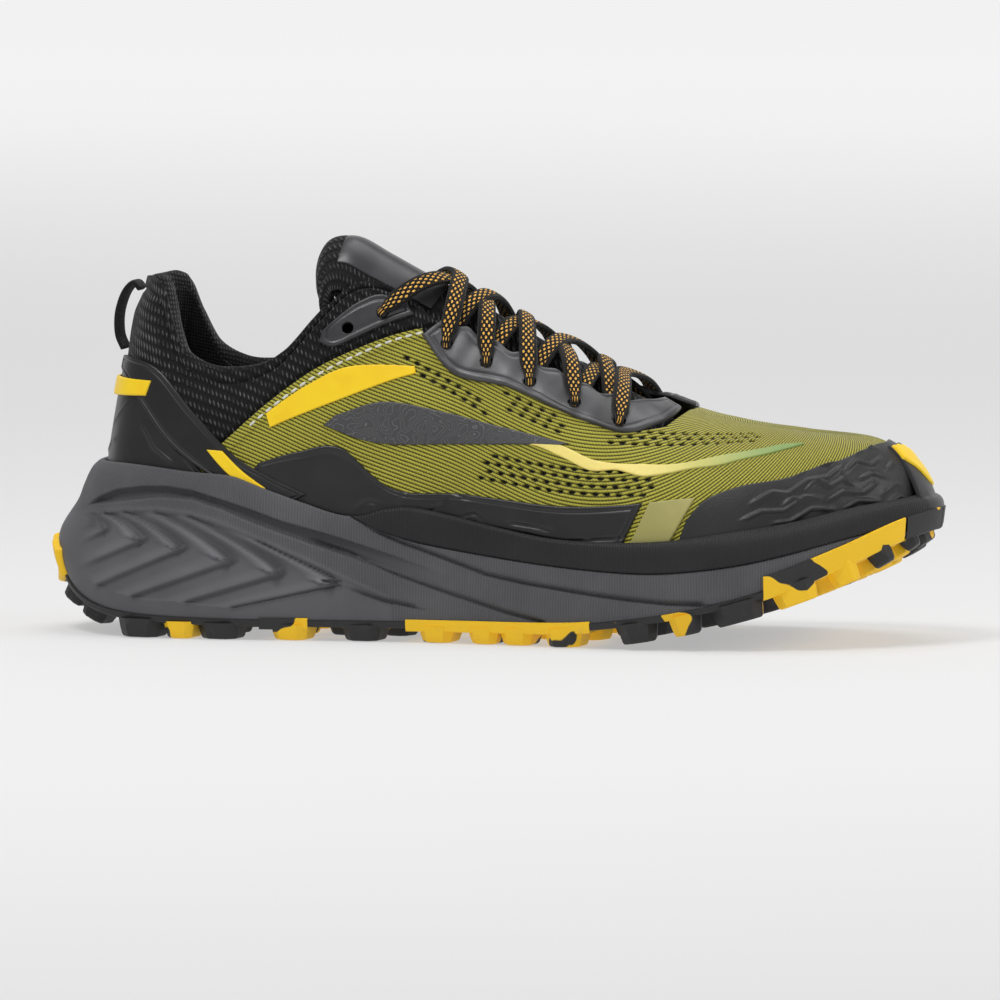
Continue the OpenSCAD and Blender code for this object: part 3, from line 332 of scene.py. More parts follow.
def bake_modifiers(ob):
    dg = bpy.context.evaluated_depsgraph_get()
    dg.update()
    me = bpy.data.meshes.new_from_object(ob.evaluated_get(dg), depsgraph=dg)
    ob.modifiers.clear()
    old = ob.data
    ob.data = me
    bpy.data.meshes.remove(old)
    me.polygons.foreach_set("use_smooth", [True] * len(me.polygons))


# ---------------------------------------------------------------- materials
def lin(c):
    return [((x / 255 + 0.055) / 1.055) ** 2.4 if x / 255 > 0.04045 else x / 255 / 12.92 for x in c] + [1]


class Mat:
    def __init__(self, name):
        self.m = bpy.data.materials.new(name)
        self.m.use_nodes = True
        self.t = self.m.node_tree
        self.t.nodes.clear()

    def n(self, kind, props=None, **inputs):
        node = self.t.nodes.new("ShaderNode" + kind)
        for k, v in (props or {}).items():
            setattr(node, k, v)
        for k, v in inputs.items():
            sock = node.inputs[int(k[1:])] if k[0] == "i" and k[1:].isdigit() else node.inputs[k.replace("_", " ")]
            if isinstance(v, bpy.types.NodeSocket):
                self.t.links.new(v, sock)
            else:
                sock.default_value = v
        return node

    def math(self, op, a, b=0.0, c=0.0):
        return self.n("Math", {"operation": op}, i0=a, i1=b, i2=c).outputs[0]

    def uv(self):
        return self.n("UVMap", {"uv_map": "UVMap"}).outputs[0]

    def pos(self):
        return self.n("TexCoord").outputs["Object"]

    def wave(self, vec, pitch, angle, phase=0.0, unit_len=0.01):
        """sin of the distance along a direction, in millimetres; vec is in units of unit_len per millimetre"""
        x = self.n("SeparateXYZ", i0=vec)
        k = 2 * math.pi / pitch / unit_len
        a = self.math("MULTIPLY", x.outputs[0], k * math.cos(math.radians(angle)))
        b = self.math("MULTIPLY", x.outputs[1], k * math.sin(math.radians(angle)))
        s = self.math("ADD", a, b)
        return self.math("SINE", self.math("ADD", s, phase))

    def noise(self, vec, scale, detail=3.0, rough=0.6):
        return self.n("TexNoise", i0=vec, Scale=scale, Detail=detail, Roughness=rough).outputs[0]

    def ramp(self, fac, lo, hi):
        return self.n("MapRange", {"interpolation_type": "SMOOTHSTEP"}, i0=fac, i1=lo, i2=hi, i3=0.0, i4=1.0).outputs[0]

    def mix(self, fac, a, b):
        n = self.n("Mix", {"data_type": "RGBA"})
        for sock, v in ((n.inputs[0], fac), (n.inputs[6], a), (n.inputs[7], b)):
            if isinstance(v, bpy.types.NodeSocket):
                self.t.links.new(v, sock)
            else:
                sock.default_value = v
        return n.outputs[2]

    # the per-point painted light: painted shade where positive, painted highlight where negative
    def mark(self):
        return self.n("Attribute", {"attribute_name": "mark"}).outputs["Fac"]

    def finish(self, color, rough, height=None, bump=0.3, dist=0.0004, sheen=0.0, spec=0.5, coat=0.0):
        b = self.n("BsdfPrincipled", Base_Color=color, Roughness=rough)
        b.inputs["Specular IOR Level"].default_value = spec
        b.inputs["Sheen Weight"].default_value = sheen
        b.inputs["Sheen Roughness"].default_value = 0.4
        b.inputs["Coat Weight"].default_value = coat
        b.inputs["Coat Roughness"].default_value = 0.25
        if height is not None:
            self.t.links.new(self.n("Bump", Strength=bump, Distance=dist, Height=height).outputs[0], b.inputs["Normal"])
        o = self.n("OutputMaterial")
        self.t.links.new(b.outputs[0], o.inputs[0])
        return self.m


def film(name, c, c2, rough=0.42, grain=2600, bump=0.16, spec=0.5, marks=None):
    """Moulded thermoplastic: fine grain, soft cloudy colour, painted lighter where marked (a painted highlight)."""
    m = Mat(name)
    p = m.pos()
    cloud = m.noise(p, 60, 2)
    fine = m.noise(p, grain, 3)
    col = m.mix(m.ramp(cloud, .35, .65), lin(c), lin(c2))
    if marks is not None:
        col = m.mix(m.mark(), col, lin(marks))
    r = m.math("MULTIPLY_ADD", fine, 0.25, rough - 0.1)
    return m.finish(col, r, fine, bump, 0.0002, spec=spec)


def rubber(name, main, other, share, seed):
    """Two rubbers run together: a main colour with sharp-edged patches of the other."""
    m = Mat(name)
    p = m.pos()
    big = m.noise(m.n("VectorMath", {"operation": "ADD"}, i0=p, i1=(seed, seed * 1.7, seed * .3)).outputs[0], 62, 1.5, .5)
    patch = m.ramp(big, share - .006, share + .006)
    fine = m.noise(p, 1800, 4)
    dust = m.ramp(m.noise(p, 240, 4), .55, .8)
    col = m.mix(patch, lin(main), lin(other))
    col = m.mix(m.math("MULTIPLY", dust, .12), col, lin((120, 118, 112)))
    return m.finish(col, m.math("MULTIPLY_ADD", fine, .3, .42), fine, .22, .0003)


def foam(name, c, c2, band=None):
    """Moulded foam with fine upright ribs, darker in the rib bottoms as painted shade; the point attribute is 1 where
    the surface is ribbed and recessed and paints shade there, and below 0 it paints a pale highlight.
    """
    m = Mat(name)
    u, p = m.uv(), m.pos()
    rib = m.math("MULTIPLY_ADD", m.wave(u, .95, 0), .5, .5)
    amount = m.n("Attribute", {"attribute_name": "rib"}).outputs["Fac"]
    fine = m.noise(p, 1500, 4)
    cloud = m.noise(p, 45, 3)
    col = m.mix(m.ramp(cloud, .3, .7), lin(c), lin(c2))
    # painted shade: the foam is drawn darker in the bottoms of its ribs
    col = m.mix(m.math("MULTIPLY", m.math("MULTIPLY", rib, amount), .22), col, lin((24, 24, 25)))
    # positive values paint shade: towards the band colour in the recesses, grooves and fin valleys
    col = m.mix(m.math("MULTIPLY", m.math("MAXIMUM", m.mark(), 0), .55), col, lin(band or (40, 40, 42)))
    # negative values paint a pale grey highlight: the painted highlight on the fin crests
    col = m.mix(m.math("MULTIPLY", m.math("MAXIMUM", m.math("MULTIPLY", m.mark(), -1), 0), .7), col, lin((142, 141, 145)))
    h = m.math("ADD", m.math("MULTIPLY", m.math("MULTIPLY", rib, amount), -1.0), m.math("MULTIPLY", fine, .35))
    return m.finish(col, m.math("MULTIPLY_ADD", fine, .2, .48), h, .55, .0003, spec=.35)


def knit_olive():
    m = Mat("olive_mesh")
    u, p = m.uv(), m.pos()
    rib = m.math("MULTIPLY_ADD", m.wave(u, 1.25, 90), .5, .5)
    tie = m.math("MULTIPLY_ADD", m.wave(u, 1.0, 20, 1.0), .5, .5)
    cell = m.math("MULTIPLY", m.math("POWER", rib, .8), m.math("MULTIPLY_ADD", tie, .45, .55))
    cloud = m.noise(p, 40, 2)
    light = m.mix(cloud, lin((196, 189, 74)), lin((176, 170, 66)))
    col = m.mix(m.ramp(cell, .05, .62), lin((74, 72, 22)), light)
    # painted shade: the slots go near-black, standing for the shade inside the holes
    col = m.mix(m.mark(), col, lin((9, 9, 7)))
    fibre = m.noise(p, 3000, 3)
    h = m.math("ADD", cell, m.math("MULTIPLY", fibre, .25))
    return m.finish(col, .78, h, .8, .0006, sheen=.25, spec=.25)


def knit_black(name, dark=(13, 13, 14), light=(92, 92, 94), pitch=1.5, angle=62, share=.55, spec=.25):
    m = Mat(name)
    u, p = m.uv(), m.pos()
    a = m.math("MULTIPLY_ADD", m.wave(u, pitch, angle), .5, .5)
    b = m.math("MULTIPLY_ADD", m.wave(u, pitch * 2.3, angle + 55, .6), .5, .5)
    cell = m.math("MULTIPLY", a, m.math("POWER", b, .6))
    var = m.noise(p, 420, 3)
    glint = m.math("MULTIPLY", m.ramp(cell, share, .95), m.ramp(var, .3, .7))
    col = m.mix(glint, lin(dark), lin(light))
    fibre = m.noise(p, 3500, 3)
    h = m.math("ADD", cell, m.math("MULTIPLY", fibre, .3))
    return m.finish(col, .8, h, .9, .0007, sheen=.12, spec=spec)


def soft_black(name, dark=(14, 14, 15), light=(58, 58, 60), pitch=.9):
    """Fine knit read from the object's own place, for padding."""
    m = Mat(name)
    p = m.pos()
    a = m.math("MULTIPLY_ADD", m.wave(p, pitch, 28, 0, .001), .5, .5)
    x = m.n("SeparateXYZ", i0=p)
    c = m.n("CombineXYZ", i0=x.outputs[2], i1=x.outputs[0], i2=x.outputs[1]).outputs[0]
    b = m.math("MULTIPLY_ADD", m.wave(c, pitch * 1.2, 15, .6, .001), .5, .5)
    cell = m.math("MULTIPLY", a, b)
    var = m.noise(p, 300, 3)
    # painted highlight: raised knit cells are drawn lighter in random patches
    col = m.mix(m.math("MULTIPLY", m.ramp(cell, .4, .95), m.ramp(var, .3, .7)), lin(dark), lin(light))
    h = m.math("ADD", cell, m.math("MULTIPLY", m.noise(p, 3500, 3), .4))
    return m.finish(col, .85, h, .7, .0005, sheen=.15, spec=.2)


def lace_mat():
    m = Mat("lace_cord")
    u = m.uv()
    x = m.n("SeparateXYZ", i0=u)
    v = m.math("MULTIPLY", x.outputs[1], 100)
    a = m.math("MULTIPLY_ADD", m.wave(u, 1.5, 60), .5, .5)
    b = m.math("MULTIPLY_ADD", m.wave(u, 1.5, -60), .5, .5)
    check = m.ramp(m.math("MULTIPLY", a, b), .34, .5)
    stripe = m.math("MULTIPLY", m.ramp(v, -2.4, -2.1), m.math("SUBTRACT", 1.0, m.ramp(v, 1.5, 1.8)))
    thread = m.noise(u, 900, 2)
    warm = m.mix(thread, lin((236, 158, 48)), lin((246, 206, 112)))
    col = m.mix(m.math("MULTIPLY", check, stripe), lin((22, 20, 18)), warm)
    braid = m.math("MULTIPLY_ADD", m.math("MULTIPLY", m.wave(u, 1.2, 45), m.wave(u, 1.2, -45)), .5, .5)
    h = m.math("ADD", braid, m.math("MULTIPLY", thread, .2))
    return m.finish(col, .8, h, .8, .0004, sheen=.15, spec=.2)


def webbing_mat():
    m = Mat("webbing")
    u = m.uv()
    a = m.math("MULTIPLY_ADD", m.wave(u, .9, 90), .5, .5)
    b = m.math("MULTIPLY_ADD", m.wave(u, 1.3, 0), .5, .5)
    cell = m.math("MULTIPLY", a, m.math("MULTIPLY_ADD", b, .4, .6))
    # painted light: the raised ribs are drawn lighter as a painted highlight, the valleys darker as painted shade
    col = m.mix(cell, lin((14, 14, 15)), lin((40, 40, 42)))
    return m.finish(col, .75, cell, .9, .0005, sheen=.1, spec=.25)


def plain(name, c, c2, scale=900, rough=.8, bump=.4):
    m = Mat(name)
    p = m.pos()
    f = m.noise(p, scale, 4)
    return m.finish(m.mix(m.ramp(f, .3, .7), lin(c), lin(c2)), m.math("MULTIPLY_ADD", f, .2, rough - .1), f, bump, .0003)


def emblem_mat():
    """Grey film with a fine maze of pale contour lines."""
    m = Mat("grey_print")
    p = m.pos()
    f = m.noise(p, 170, 1, .4)
    ring = m.math("ABSOLUTE", m.math("SINE", m.math("MULTIPLY", f, 42.0)))
    line = m.math("SUBTRACT", 1.0, m.ramp(ring, .1, .3))
    col = m.mix(m.math("MULTIPLY", line, .5), lin((66, 66, 68)), lin((118, 118, 119)))
    return m.finish(col, .45, m.math("MULTIPLY", line, .4), .3, .0002)


def streak_mat():
    m = Mat("pale_film")
    u, p = m.uv(), m.pos()
    x = m.n("SeparateXYZ", i0=u)
    along = m.ramp(x.outputs[0], 1.95, 2.55)
    col = m.mix(along, lin((250, 228, 125)), lin((118, 150, 78)))
    f = m.noise(p, 900, 3)
    return m.finish(m.mix(m.math("MULTIPLY", f, .25), col, lin((160, 160, 90))), .45, f, .2, .0002)


M = {
    "grey_foam": foam("grey_foam", (92, 92, 95), (84, 84, 87)),
    "black_foam": foam("black_foam", (36, 36, 38), (30, 30, 32), (16, 16, 17)),
    "black_rubber": rubber("black_rubber", (34, 34, 35), (240, 190, 18), .66, .35),
    "yellow_rubber": rubber("yellow_rubber", (250, 200, 20), (36, 36, 37), .60, .11),
    "olive_mesh": knit_olive(),
    "black_mesh": knit_black("black_mesh", (12, 12, 13), (104, 104, 107), 1.3, 20, .5),
    "tongue_mesh": knit_black("tongue_mesh", (13, 13, 14), (84, 84, 86), 1.7, 35, .5),
    "black_lining": soft_black("black_lining"),
    "collar_knit": soft_black("collar_knit", (17, 17, 18), (70, 70, 72), 1.1),
    "black_film": film("black_film", (25, 25, 27), (32, 32, 34), .36),
    "strap_film": film("strap_film", (22, 22, 24), (29, 29, 31), .34),
    "panel_film": film("panel_film", (46, 46, 49), (60, 60, 63), .3),
    "grey_film": film("grey_film", (52, 52, 54), (76, 76, 79), .3),
    "toe_film": film("toe_film", (27, 27, 29), (36, 36, 38), .4, 1500, .5),
    "olive_film": film("olive_film", (170, 163, 98), (160, 154, 90), .5),
    "yellow_film": film("yellow_film", (253, 214, 22), (249, 205, 14), .42, 1800, .1),
    "pale_film": streak_mat(),
    "grey_print": emblem_mat(),
    "thread": plain("thread", (228, 226, 214), (200, 198, 186), 3000),
    "lace_cord": lace_mat(),
    "webbing": webbing_mat(),
    "insole_fabric": plain("insole_fabric", (40, 40, 42), (58, 58, 60), 2600, .9),
    "board_fabric": plain("board_fabric", (200, 195, 176), (180, 174, 154), 1600),
    "stiffener_plastic": plain("stiffener_plastic", (212, 208, 190), (196, 190, 170), 700, .6),
    "padding_foam": plain("padding_foam", (232, 226, 206), (212, 206, 184), 2200),
}

# ---------------------------------------------------------------- the sole
LIP_D, LIP_T, SHOULDER = 3.3, 1.3, 0.5


def lip_point(q, z, d):
    t = at_height(q, z)
    return raw(q, t) + normal(q, t) * np.asarray(d)[..., None]


def flare(x, h):
    a, b = curve(heel_flare, h), curve(fore_flare, h)
    return a + (b - a) * np.clip((x - 60) / 80, 0, 1)


def wall_point(q, z):
    q, z = np.broadcast_arrays(np.asarray(q, float), np.asarray(z, float))
    s = on_ring(sole_ring, q)
    m = s[..., 0]
    top, low = curve(bite_line, m), curve(sole_under, m)
    w = flare(m, np.clip((z - low) / (top - low), 0, 1))
    rim = lip_point(q, top, np.full(q.shape, LIP_D + LIP_T))
    return np.stack([rim[..., 0] + (s[..., 0] - rim[..., 0]) * w, rim[..., 1] + (s[..., 1] - rim[..., 1]) * w, z], -1)


def out_dir(q):
    d = on_ring(sole_ring, q + .002) - on_ring(sole_ring, q - .002)
    return unit(np.stack([d[..., 1], -d[..., 0], np.zeros(d.shape[:-1])], -1))


def at_z(p, z):
    return np.concatenate([p[..., :2], np.broadcast_to(np.asarray(z, float), p.shape[:-1])[..., None]], -1)


def stretch(n, a=0.0008, b=0.9992):
    i = np.arange(n + 1) / n
    return a + (b - a) * ((1 - np.cos(np.pi * i)) / 2 * .55 + i * .45)


def loft(loops):
    """Closed solid through sections of shape (sections, points, 3), with flat ends."""
    n, m = loops.shape[:2]
    i, k = np.meshgrid(np.arange(n - 1), np.arange(m), indexing="ij")
    k2 = (k + 1) % m
    f = np.stack([i * m + k, (i + 1) * m + k, (i + 1) * m + k2, i * m + k2], -1).reshape(-1, 4).tolist()
    f.append([*range(0, m)])
    f.append([(n - 1) * m + k for k in range(m - 1, -1, -1)])
    return loops.reshape(-1, 3), f


dark_top = [[4, 41.5], [17.8, 42.0], [23.1, 45.4], [30.2, 48.2], [39.8, 49.7], [48.2, 49.9], [57.3, 48.8], [68, 45.8],
            [78.7, 42.5], [88.4, 39], [99.8, 36.1], [110.5, 33.1], [125.8, 28.5], [145, 21.9]]
dark_low = [[4, 41], [17.8, 41.6], [32.1, 43.7], [46.3, 45.5], [57.3, 45.1], [68, 41.9], [78.7, 37.6], [88.4, 34.2],
            [99.8, 30.4], [113.2, 26.6], [126.7, 22.4], [145, 15.8]]
zone_top = [[4, 37.5], [11.9, 38], [18.9, 39.5], [34.1, 41], [46.3, 41.5], [57.3, 40.4], [68, 37.5], [82.2, 31.9], [95.4, 26.3],
            [108.7, 20.4], [129.4, 11.4]]
apexes = np.array([[14.5, 36.5], [22, 35.7], [27.7, 34.3], [42.6, 31.7], [56.4, 29.2], [73.3, 25.5], [89.7, 21.7], [107.8, 18.1]])
uppers = np.array([[8, 38.3], [15, 38.9], [19.9, 39.1], [26.7, 39.9], [34.1, 40.7], [45.4, 41], [57, 39.9], [81.3, 31.9]])
lowers = np.array([[8, 34.5], [11.9, 32.7], [13.2, 27.6], [17.2, 21.3], [25.1, 16.1], [38.4, 13.1], [57.3, 11.8], [72.4, 10.3]])
groove_a = [[112.6, 39.8], [128.6, 32.6], [142.5, 28], [156.9, 23.2], [171.1, 20.6], [193.2, 17.8], [204.7, 16.6],
            [219.1, 15.5], [231, 15.3]]
groove_b = [[94.3, 34.1], [111.3, 28.4], [125.1, 22.7], [138.8, 18.1], [153.3, 14], [163.8, 11], [177, 8]]
line_c = [[107.9, 18.1], [121.6, 13.9], [132.7, 11.7]]
wedge_line = [[96, 5.4], [106.9, 5.6], [115.9, 6.8], [132.1, 11.2], [146, 9.0], [158, 6.0]]


FIN_BOW = 1.6
FULL_FIN = 26


def chevrons(X, Z):
    """Height of the moulded fins on the heel (-1 outside them) and the painted highlight on their crests."""
    best, painted_crest_highlight = np.full(X.shape, -1.0), np.zeros(X.shape)
    for arm, ends in ((0, uppers), (1, lowers)):
        for k in range(len(apexes) - 1):
            a0, a1, e0, e1 = apexes[k], apexes[k + 1], ends[k], ends[k + 1]
            # inverse bilinear: point = mix(mix(a0, a1, s), mix(e0, e1, s), w)
            s, w = np.full(X.shape, .5), np.full(X.shape, .5)
            for _ in range(7):
                px = (a0[0] + (a1[0] - a0[0]) * s) * (1 - w) + (e0[0] + (e1[0] - e0[0]) * s) * w
                pz = (a0[1] + (a1[1] - a0[1]) * s) * (1 - w) + (e0[1] + (e1[1] - e0[1]) * s) * w
                dxs = (a1[0] - a0[0]) * (1 - w) + (e1[0] - e0[0]) * w
                dzs = (a1[1] - a0[1]) * (1 - w) + (e1[1] - e0[1]) * w
                dxw = (e0[0] - a0[0]) + ((e1[0] - e0[0]) - (a1[0] - a0[0])) * s
                dzw = (e0[1] - a0[1]) + ((e1[1] - e0[1]) - (a1[1] - a0[1])) * s
                det = dxs * dzw - dzs * dxw
                det = np.where(np.abs(det) < 1e-6, 1e-6, det)
                s = np.clip(s + ((X - px) * dzw - (Z - pz) * dxw) / det, -1, 2)
                w = np.clip(w + ((Z - pz) * dxs - (X - px) * dzs) / det, -1, 2)
            hit = (s >= 0) & (s < 1) & (w >= -.02) & (w <= 1.0)
            size = min(1, (a1[0] - a0[0] + e1[0] - e0[0]) / FULL_FIN)
            if arm == 0:
                h = np.where(s < .76, (np.maximum(s, 0) / .76) ** 1.8, 1 - smooth01((s - .76) / .24)) * 3.1
                h = h * (1 - .75 * w) * size
                # painted highlight along the upper fins' crests
                c = smooth01((s - .3) / .4) * (1 - smooth01((s - .72) / .12)) * np.clip(1 - w, 0, 1) ** .6 * size
            else:
                h = np.where(s < .86, (s / .86), 1 - smooth01((s - .86) / .14)) * 1.1 * (1 - .3 * w)
                # a fainter painted highlight along the lower arms
                c = .25 * smooth01((s - .3) / .4) * (1 - smooth01((s - .82) / .12))
            take = hit & (h > best)
            best, painted_crest_highlight = np.where(take, h, best), np.where(take, c, painted_crest_highlight)
    return best, painted_crest_highlight


def bowed(X, Z):
    """Heights with the upper arms' straight lines bent into the fins' curve."""
    za = np.interp(X, apexes[:, 0], apexes[:, 1])
    zt = np.maximum(np.interp(X, *np.array(zone_top).T), za + 1)
    v = np.clip((Z - za) / (zt - za), 0, 1)
    return Z - FIN_BOW * 4 * v * (1 - v)


def sole_relief(P):
    """Outward displacement, painted light (painted shade in the recesses where positive, painted highlight on the fin
    crests where negative) and rib amount of the sole's wall at points P.
    """
    X, Z = P[..., 0], P[..., 2]
    XZ = np.stack([X, Z], -1)
    D = np.zeros(X.shape)
    top, low = np.interp(X, *np.array(dark_top).T), np.interp(X, *np.array(dark_low).T)
    inside = smooth01((top - Z) / .8) * smooth01((Z - low) / 1.6) * (X < 150) * smooth01((150 - X) / 50)
    D -= 2.0 * inside
    # painted shade: the recessed band is drawn darker
    mark = inside.copy()
    ZB = bowed(X, Z)
    ch, painted_crest_highlight = chevrons(X, ZB)
    zone = ch >= 0
    calm = smooth01((X - 15) / 12)
    ch = np.where(zone, .7 + (ch - .7) * calm, ch)
    D = np.where(zone, D + ch - .7, D)
    zt = np.interp(X, *np.array(zone_top).T)
    D += .5 * np.exp(-((Z - zt - .6) / .7) ** 2) * (X < 125) * (~zone) * calm
    for line, depth, w in ((groove_a, 1.1, .8), (groove_b, 1.0, .8), (line_c, .8, .7)):
        d, side = line_distance(XZ, line)
        fade = smooth01((X - line[0][0]) / 9)
        D -= fade * depth * np.exp(-(d / w) ** 2)
        D -= fade * .7 * (side < 0) * np.exp(-(d / 3.5) ** 2)
        # painted shade along each groove
        mark = np.maximum(mark, .8 * fade * np.exp(-(d / .8) ** 2))
    # painted shade along the fins' valleys, on the lines from each apex to the arms' ends
    for k in range(len(apexes) - 1):
        for ends in (uppers, lowers):
            d, _ = line_distance(np.stack([X, ZB], -1), [apexes[k + 1], ends[k + 1]])
            mark = np.maximum(mark, .8 * calm * np.exp(-(d / .95) ** 2))
    # painted highlight on the fin crests, stored as negative values where no painted shade lies
    painted_highlight = calm * painted_crest_highlight
    mark = np.clip(mark, 0, 1) - painted_highlight * (mark < .3)
    rib = smooth01((Z - np.interp(X, *np.array(zone_top).T)) / 1.5) * (X < 125) + (X >= 125) * 1.0
    rib = rib * (1 - .5 * inside)
    return D, mark, np.clip(rib, 0, 1)


def add_attribute(ob, name, values):
    at = ob.data.attributes.new(name, "FLOAT", "POINT")
    at.data.foreach_set("value", np.asarray(values, np.float32).ravel())


def sole_piece(name, mat, slot, u, rows, low_of, top_of, close_of, relief=True, proud=0.0):
    """Wall between two heights at both sides, closed through the inner points of close_of."""
    halves, marks, ribs, uvs = [], [], [], []
    for q in (u, 2 - u):
        lo, hi = low_of(q), top_of(q)
        z = lo[:, None] + (hi - lo)[:, None] * (spaced(rows, .35) if relief else np.linspace(0, 1, rows + 1))[None, :]
        W = wall_point(q[:, None], z)
        D, mk, rb = sole_relief(W) if relief else (np.zeros(z.shape), np.zeros(z.shape), np.ones(z.shape))
        ends = smooth01(np.minimum(u, 1 - u) / .02)[:, None]
        border = np.minimum((z - lo[:, None]) / .8, (hi[:, None] - z) / .8)
        rnd = np.sqrt(np.maximum(1 - (1 - np.clip(border, 0, 1)) ** 2, 0))
        W = W + out_dir(np.broadcast_to(q[:, None], z.shape)) * (D * ends * rnd + proud * rnd - .5 * (1 - rnd))[..., None]
        first, last = close_of(q, lo, hi)
        half = np.concatenate([first, W, last], 1)
        pad = lambda a, v: np.concatenate([np.full((len(u), first.shape[1]), v), a, np.full((len(u), last.shape[1]), v)], 1)
        arc = np.concatenate([[0], np.cumsum(np.linalg.norm(np.diff(on_ring(sole_ring, q), axis=0), axis=1))])
        uvs.append(np.stack([np.broadcast_to(arc[:, None], half.shape[:2]), half[..., 2]], -1))
        halves.append(half)
        marks.append(pad(mk, 0))
        ribs.append(pad(rb, 0))
    join = lambda h: np.concatenate([h[0], h[1][:, ::-1]], 1)
    v, f = loft(join(halves))
    ob = build(name, v, f, mat, slot, nodes=(name,), uv=join(uvs), mark=join(marks))
    add_attribute(ob, "rib", join(ribs))
    return ob


def bite_z(q): return curve(bite_line, on_ring(sole_ring, q)[..., 0])
def under_z(q): return curve(sole_under, on_ring(sole_ring, q)[..., 0])


def split_z(q):
    x = on_ring(sole_ring, q)[..., 0]
    b = curve(bite_line, x)
    return np.where(x < 110, b, np.minimum(b, curve(foam_split, x)))


def bed_z(q):
    return curve(bed_line, (on_ring(upper_ring, q)[..., 0] + on_ring(upper_ring, 2 - q)[..., 0]) / 2)


def lower_close(q, lo, hi):
    f = bed_z(q) - .35
    inner = lip_point(q, f, np.full(q.shape, LIP_D))
    first = [at_z(inner, lo)]
    w = wall_point(q, lo)
    first += [at_z(inner + (w - inner) * k, lo) for k in (.5, .85)]
    sh = lip_point(q, hi, np.full(q.shape, LIP_D + SHOULDER))
    top = at_z(sh, hi)
    last = [top, at_z(lip_point(q, hi - .8, np.full(q.shape, LIP_D - .3)), hi - .9), at_z(inner, np.minimum(f, hi))]
    return np.stack(first, 1), np.stack(last, 1)


def dense_heel(n):
    """Sections along the sole, crowded where the fins are."""
    x = np.linspace(0, 1, 4001)
    w = 1 + 1.6 * (x < .42) + 6 * np.exp(-(x / .02) ** 2) + 3 * np.exp(-((1 - x) / .02) ** 2)
    c = np.concatenate([[0], np.cumsum((w[1:] + w[:-1]) / 2)])
    return .0008 + .9984 * np.interp(np.linspace(0, 1, n + 1), c / c[-1], x)


U = dense_heel(600)
sole_piece("midsole_lower_foam", M["grey_foam"], "grey_foam", U, 112, lambda q: under_z(q) + .1,
           lambda q: np.minimum(bite_z(q), split_z(q)), lower_close)


def upper_close(q, lo, hi):
    f = bed_z(q) - .35
    inner = lip_point(q, f, np.full(q.shape, LIP_D))
    first = [at_z(inner, lo), at_z(lip_point(q, lo, np.full(q.shape, LIP_D + SHOULDER)), lo)]
    last = [lip_point(q, hi, np.full(q.shape, LIP_D + .3)), at_z(lip_point(q, hi - .8, np.full(q.shape, LIP_D - .3)), hi - .9),
            at_z(inner, np.maximum(f, lo + .02))]
    return np.stack(first, 1), np.stack(last, 1)


Ub = stretch(900)
Ub = Ub[on_ring(sole_ring, Ub)[:, 0] > 110.4]
sole_piece("midsole_upper_foam", M["black_foam"], "black_foam", Ub, 16, lambda q: split_z(q) + .02,
           lambda q: np.maximum(bite_z(q), split_z(q) + .06), upper_close, relief=False, proud=.45)


# ---------------------------------------------------------------- outsole: sheet, webs and lugs
SHEET_T = 1.8


def edge_y(x, side):
    return curve(sole_lat if side < 0 else sole_med, x)


def sheet_loops(u, top, low, w, wrap_z=0.0):
    halves = []
    for q in (u, 2 - u):
        z = under_z(q)
        p, c = wall_point(q, z), wall_point(2 - q, z)
        e = c + (p - c) * w
        o = out_dir(q)
        rows = [at_z(c + (p - c) * k, z - low) for k in (.5, .75, .93)]
        rows += [at_z(e, z - low), at_z(e + o * .5, z - low + .4), at_z(e + o * .9, z - top + .2)]
        if wrap_z > 0:
            wz = wall_point(q, z + wrap_z)
            rows += [at_z(wz + o * 1.0, z + wrap_z - .3), at_z(wz + o * .35, z + wrap_z)]
        else:
            rows += [at_z(e + o * .3, z - top + .5)]
        rows += [at_z(e - o * .6, z - top)]
        rows += [at_z(c + (p - c) * k, z - top) for k in (.75, .5)]
        halves.append(np.stack(rows, 1))
    return np.concatenate([halves[0], halves[1][:, ::-1]], 1)


def lug_mesh(x, y, lx, ly, turn, drop=0.0, draft=1.1, flare_out=0.0):
    """A moulded block: wide foot on the sheet, drafted sides, bevelled tread face."""
    slope = (curve(ground_line, x + 2) - curve(ground_line, x - 2)) / 4
    tilt = math.atan(slope)
    g = max(float(curve(ground_line, x)), 6.5 * abs(math.sin(tilt)))
    up = float(curve(sole_under, x)) - SHEET_T * .5 - g - drop
    c = min(lx, ly) * .24

    def ring(sx, sy, cc):
        return [[-sx + cc, -sy], [sx - cc, -sy], [sx, -sy + cc], [sx, sy - cc], [sx - cc, sy], [-sx + cc, sy], [-sx, sy - cc], [-sx, -sy + cc]]
    a = math.radians(turn)
    pts = []
    for h, k, cc in ((up, draft, c * 1.15), (up * .45, draft * .45, c * 1.05), (.7, 0, c), (.12, -.5, c * .9), (0, -1.0, c * .8)):
        for px, py in ring(lx / 2 + k, ly / 2 + k, cc):
            X, Y = px * math.cos(a) - py * math.sin(a), px * math.sin(a) + py * math.cos(a)
            pts.append([x + X * math.cos(tilt) - h * math.sin(tilt), y + Y, g + X * math.sin(tilt) + h * math.cos(tilt)])
    f = []
    for r in range(4):
        for k in range(8):
            f.append([r * 8 + k, (r + 1) * 8 + k, (r + 1) * 8 + (k + 1) % 8, r * 8 + (k + 1) % 8])
    f.append([32 + k for k in range(7, -1, -1)])
    f.append([k for k in range(8)])
    return np.array(pts), f


def merged(parts):
    vs, fs, off = [], [], 0
    for v, f in parts:
        vs.append(np.asarray(v, float).reshape(-1, 3))
        fs += [[int(i) + off for i in face] for face in f]
        off += len(vs[-1])
    return np.concatenate(vs), fs


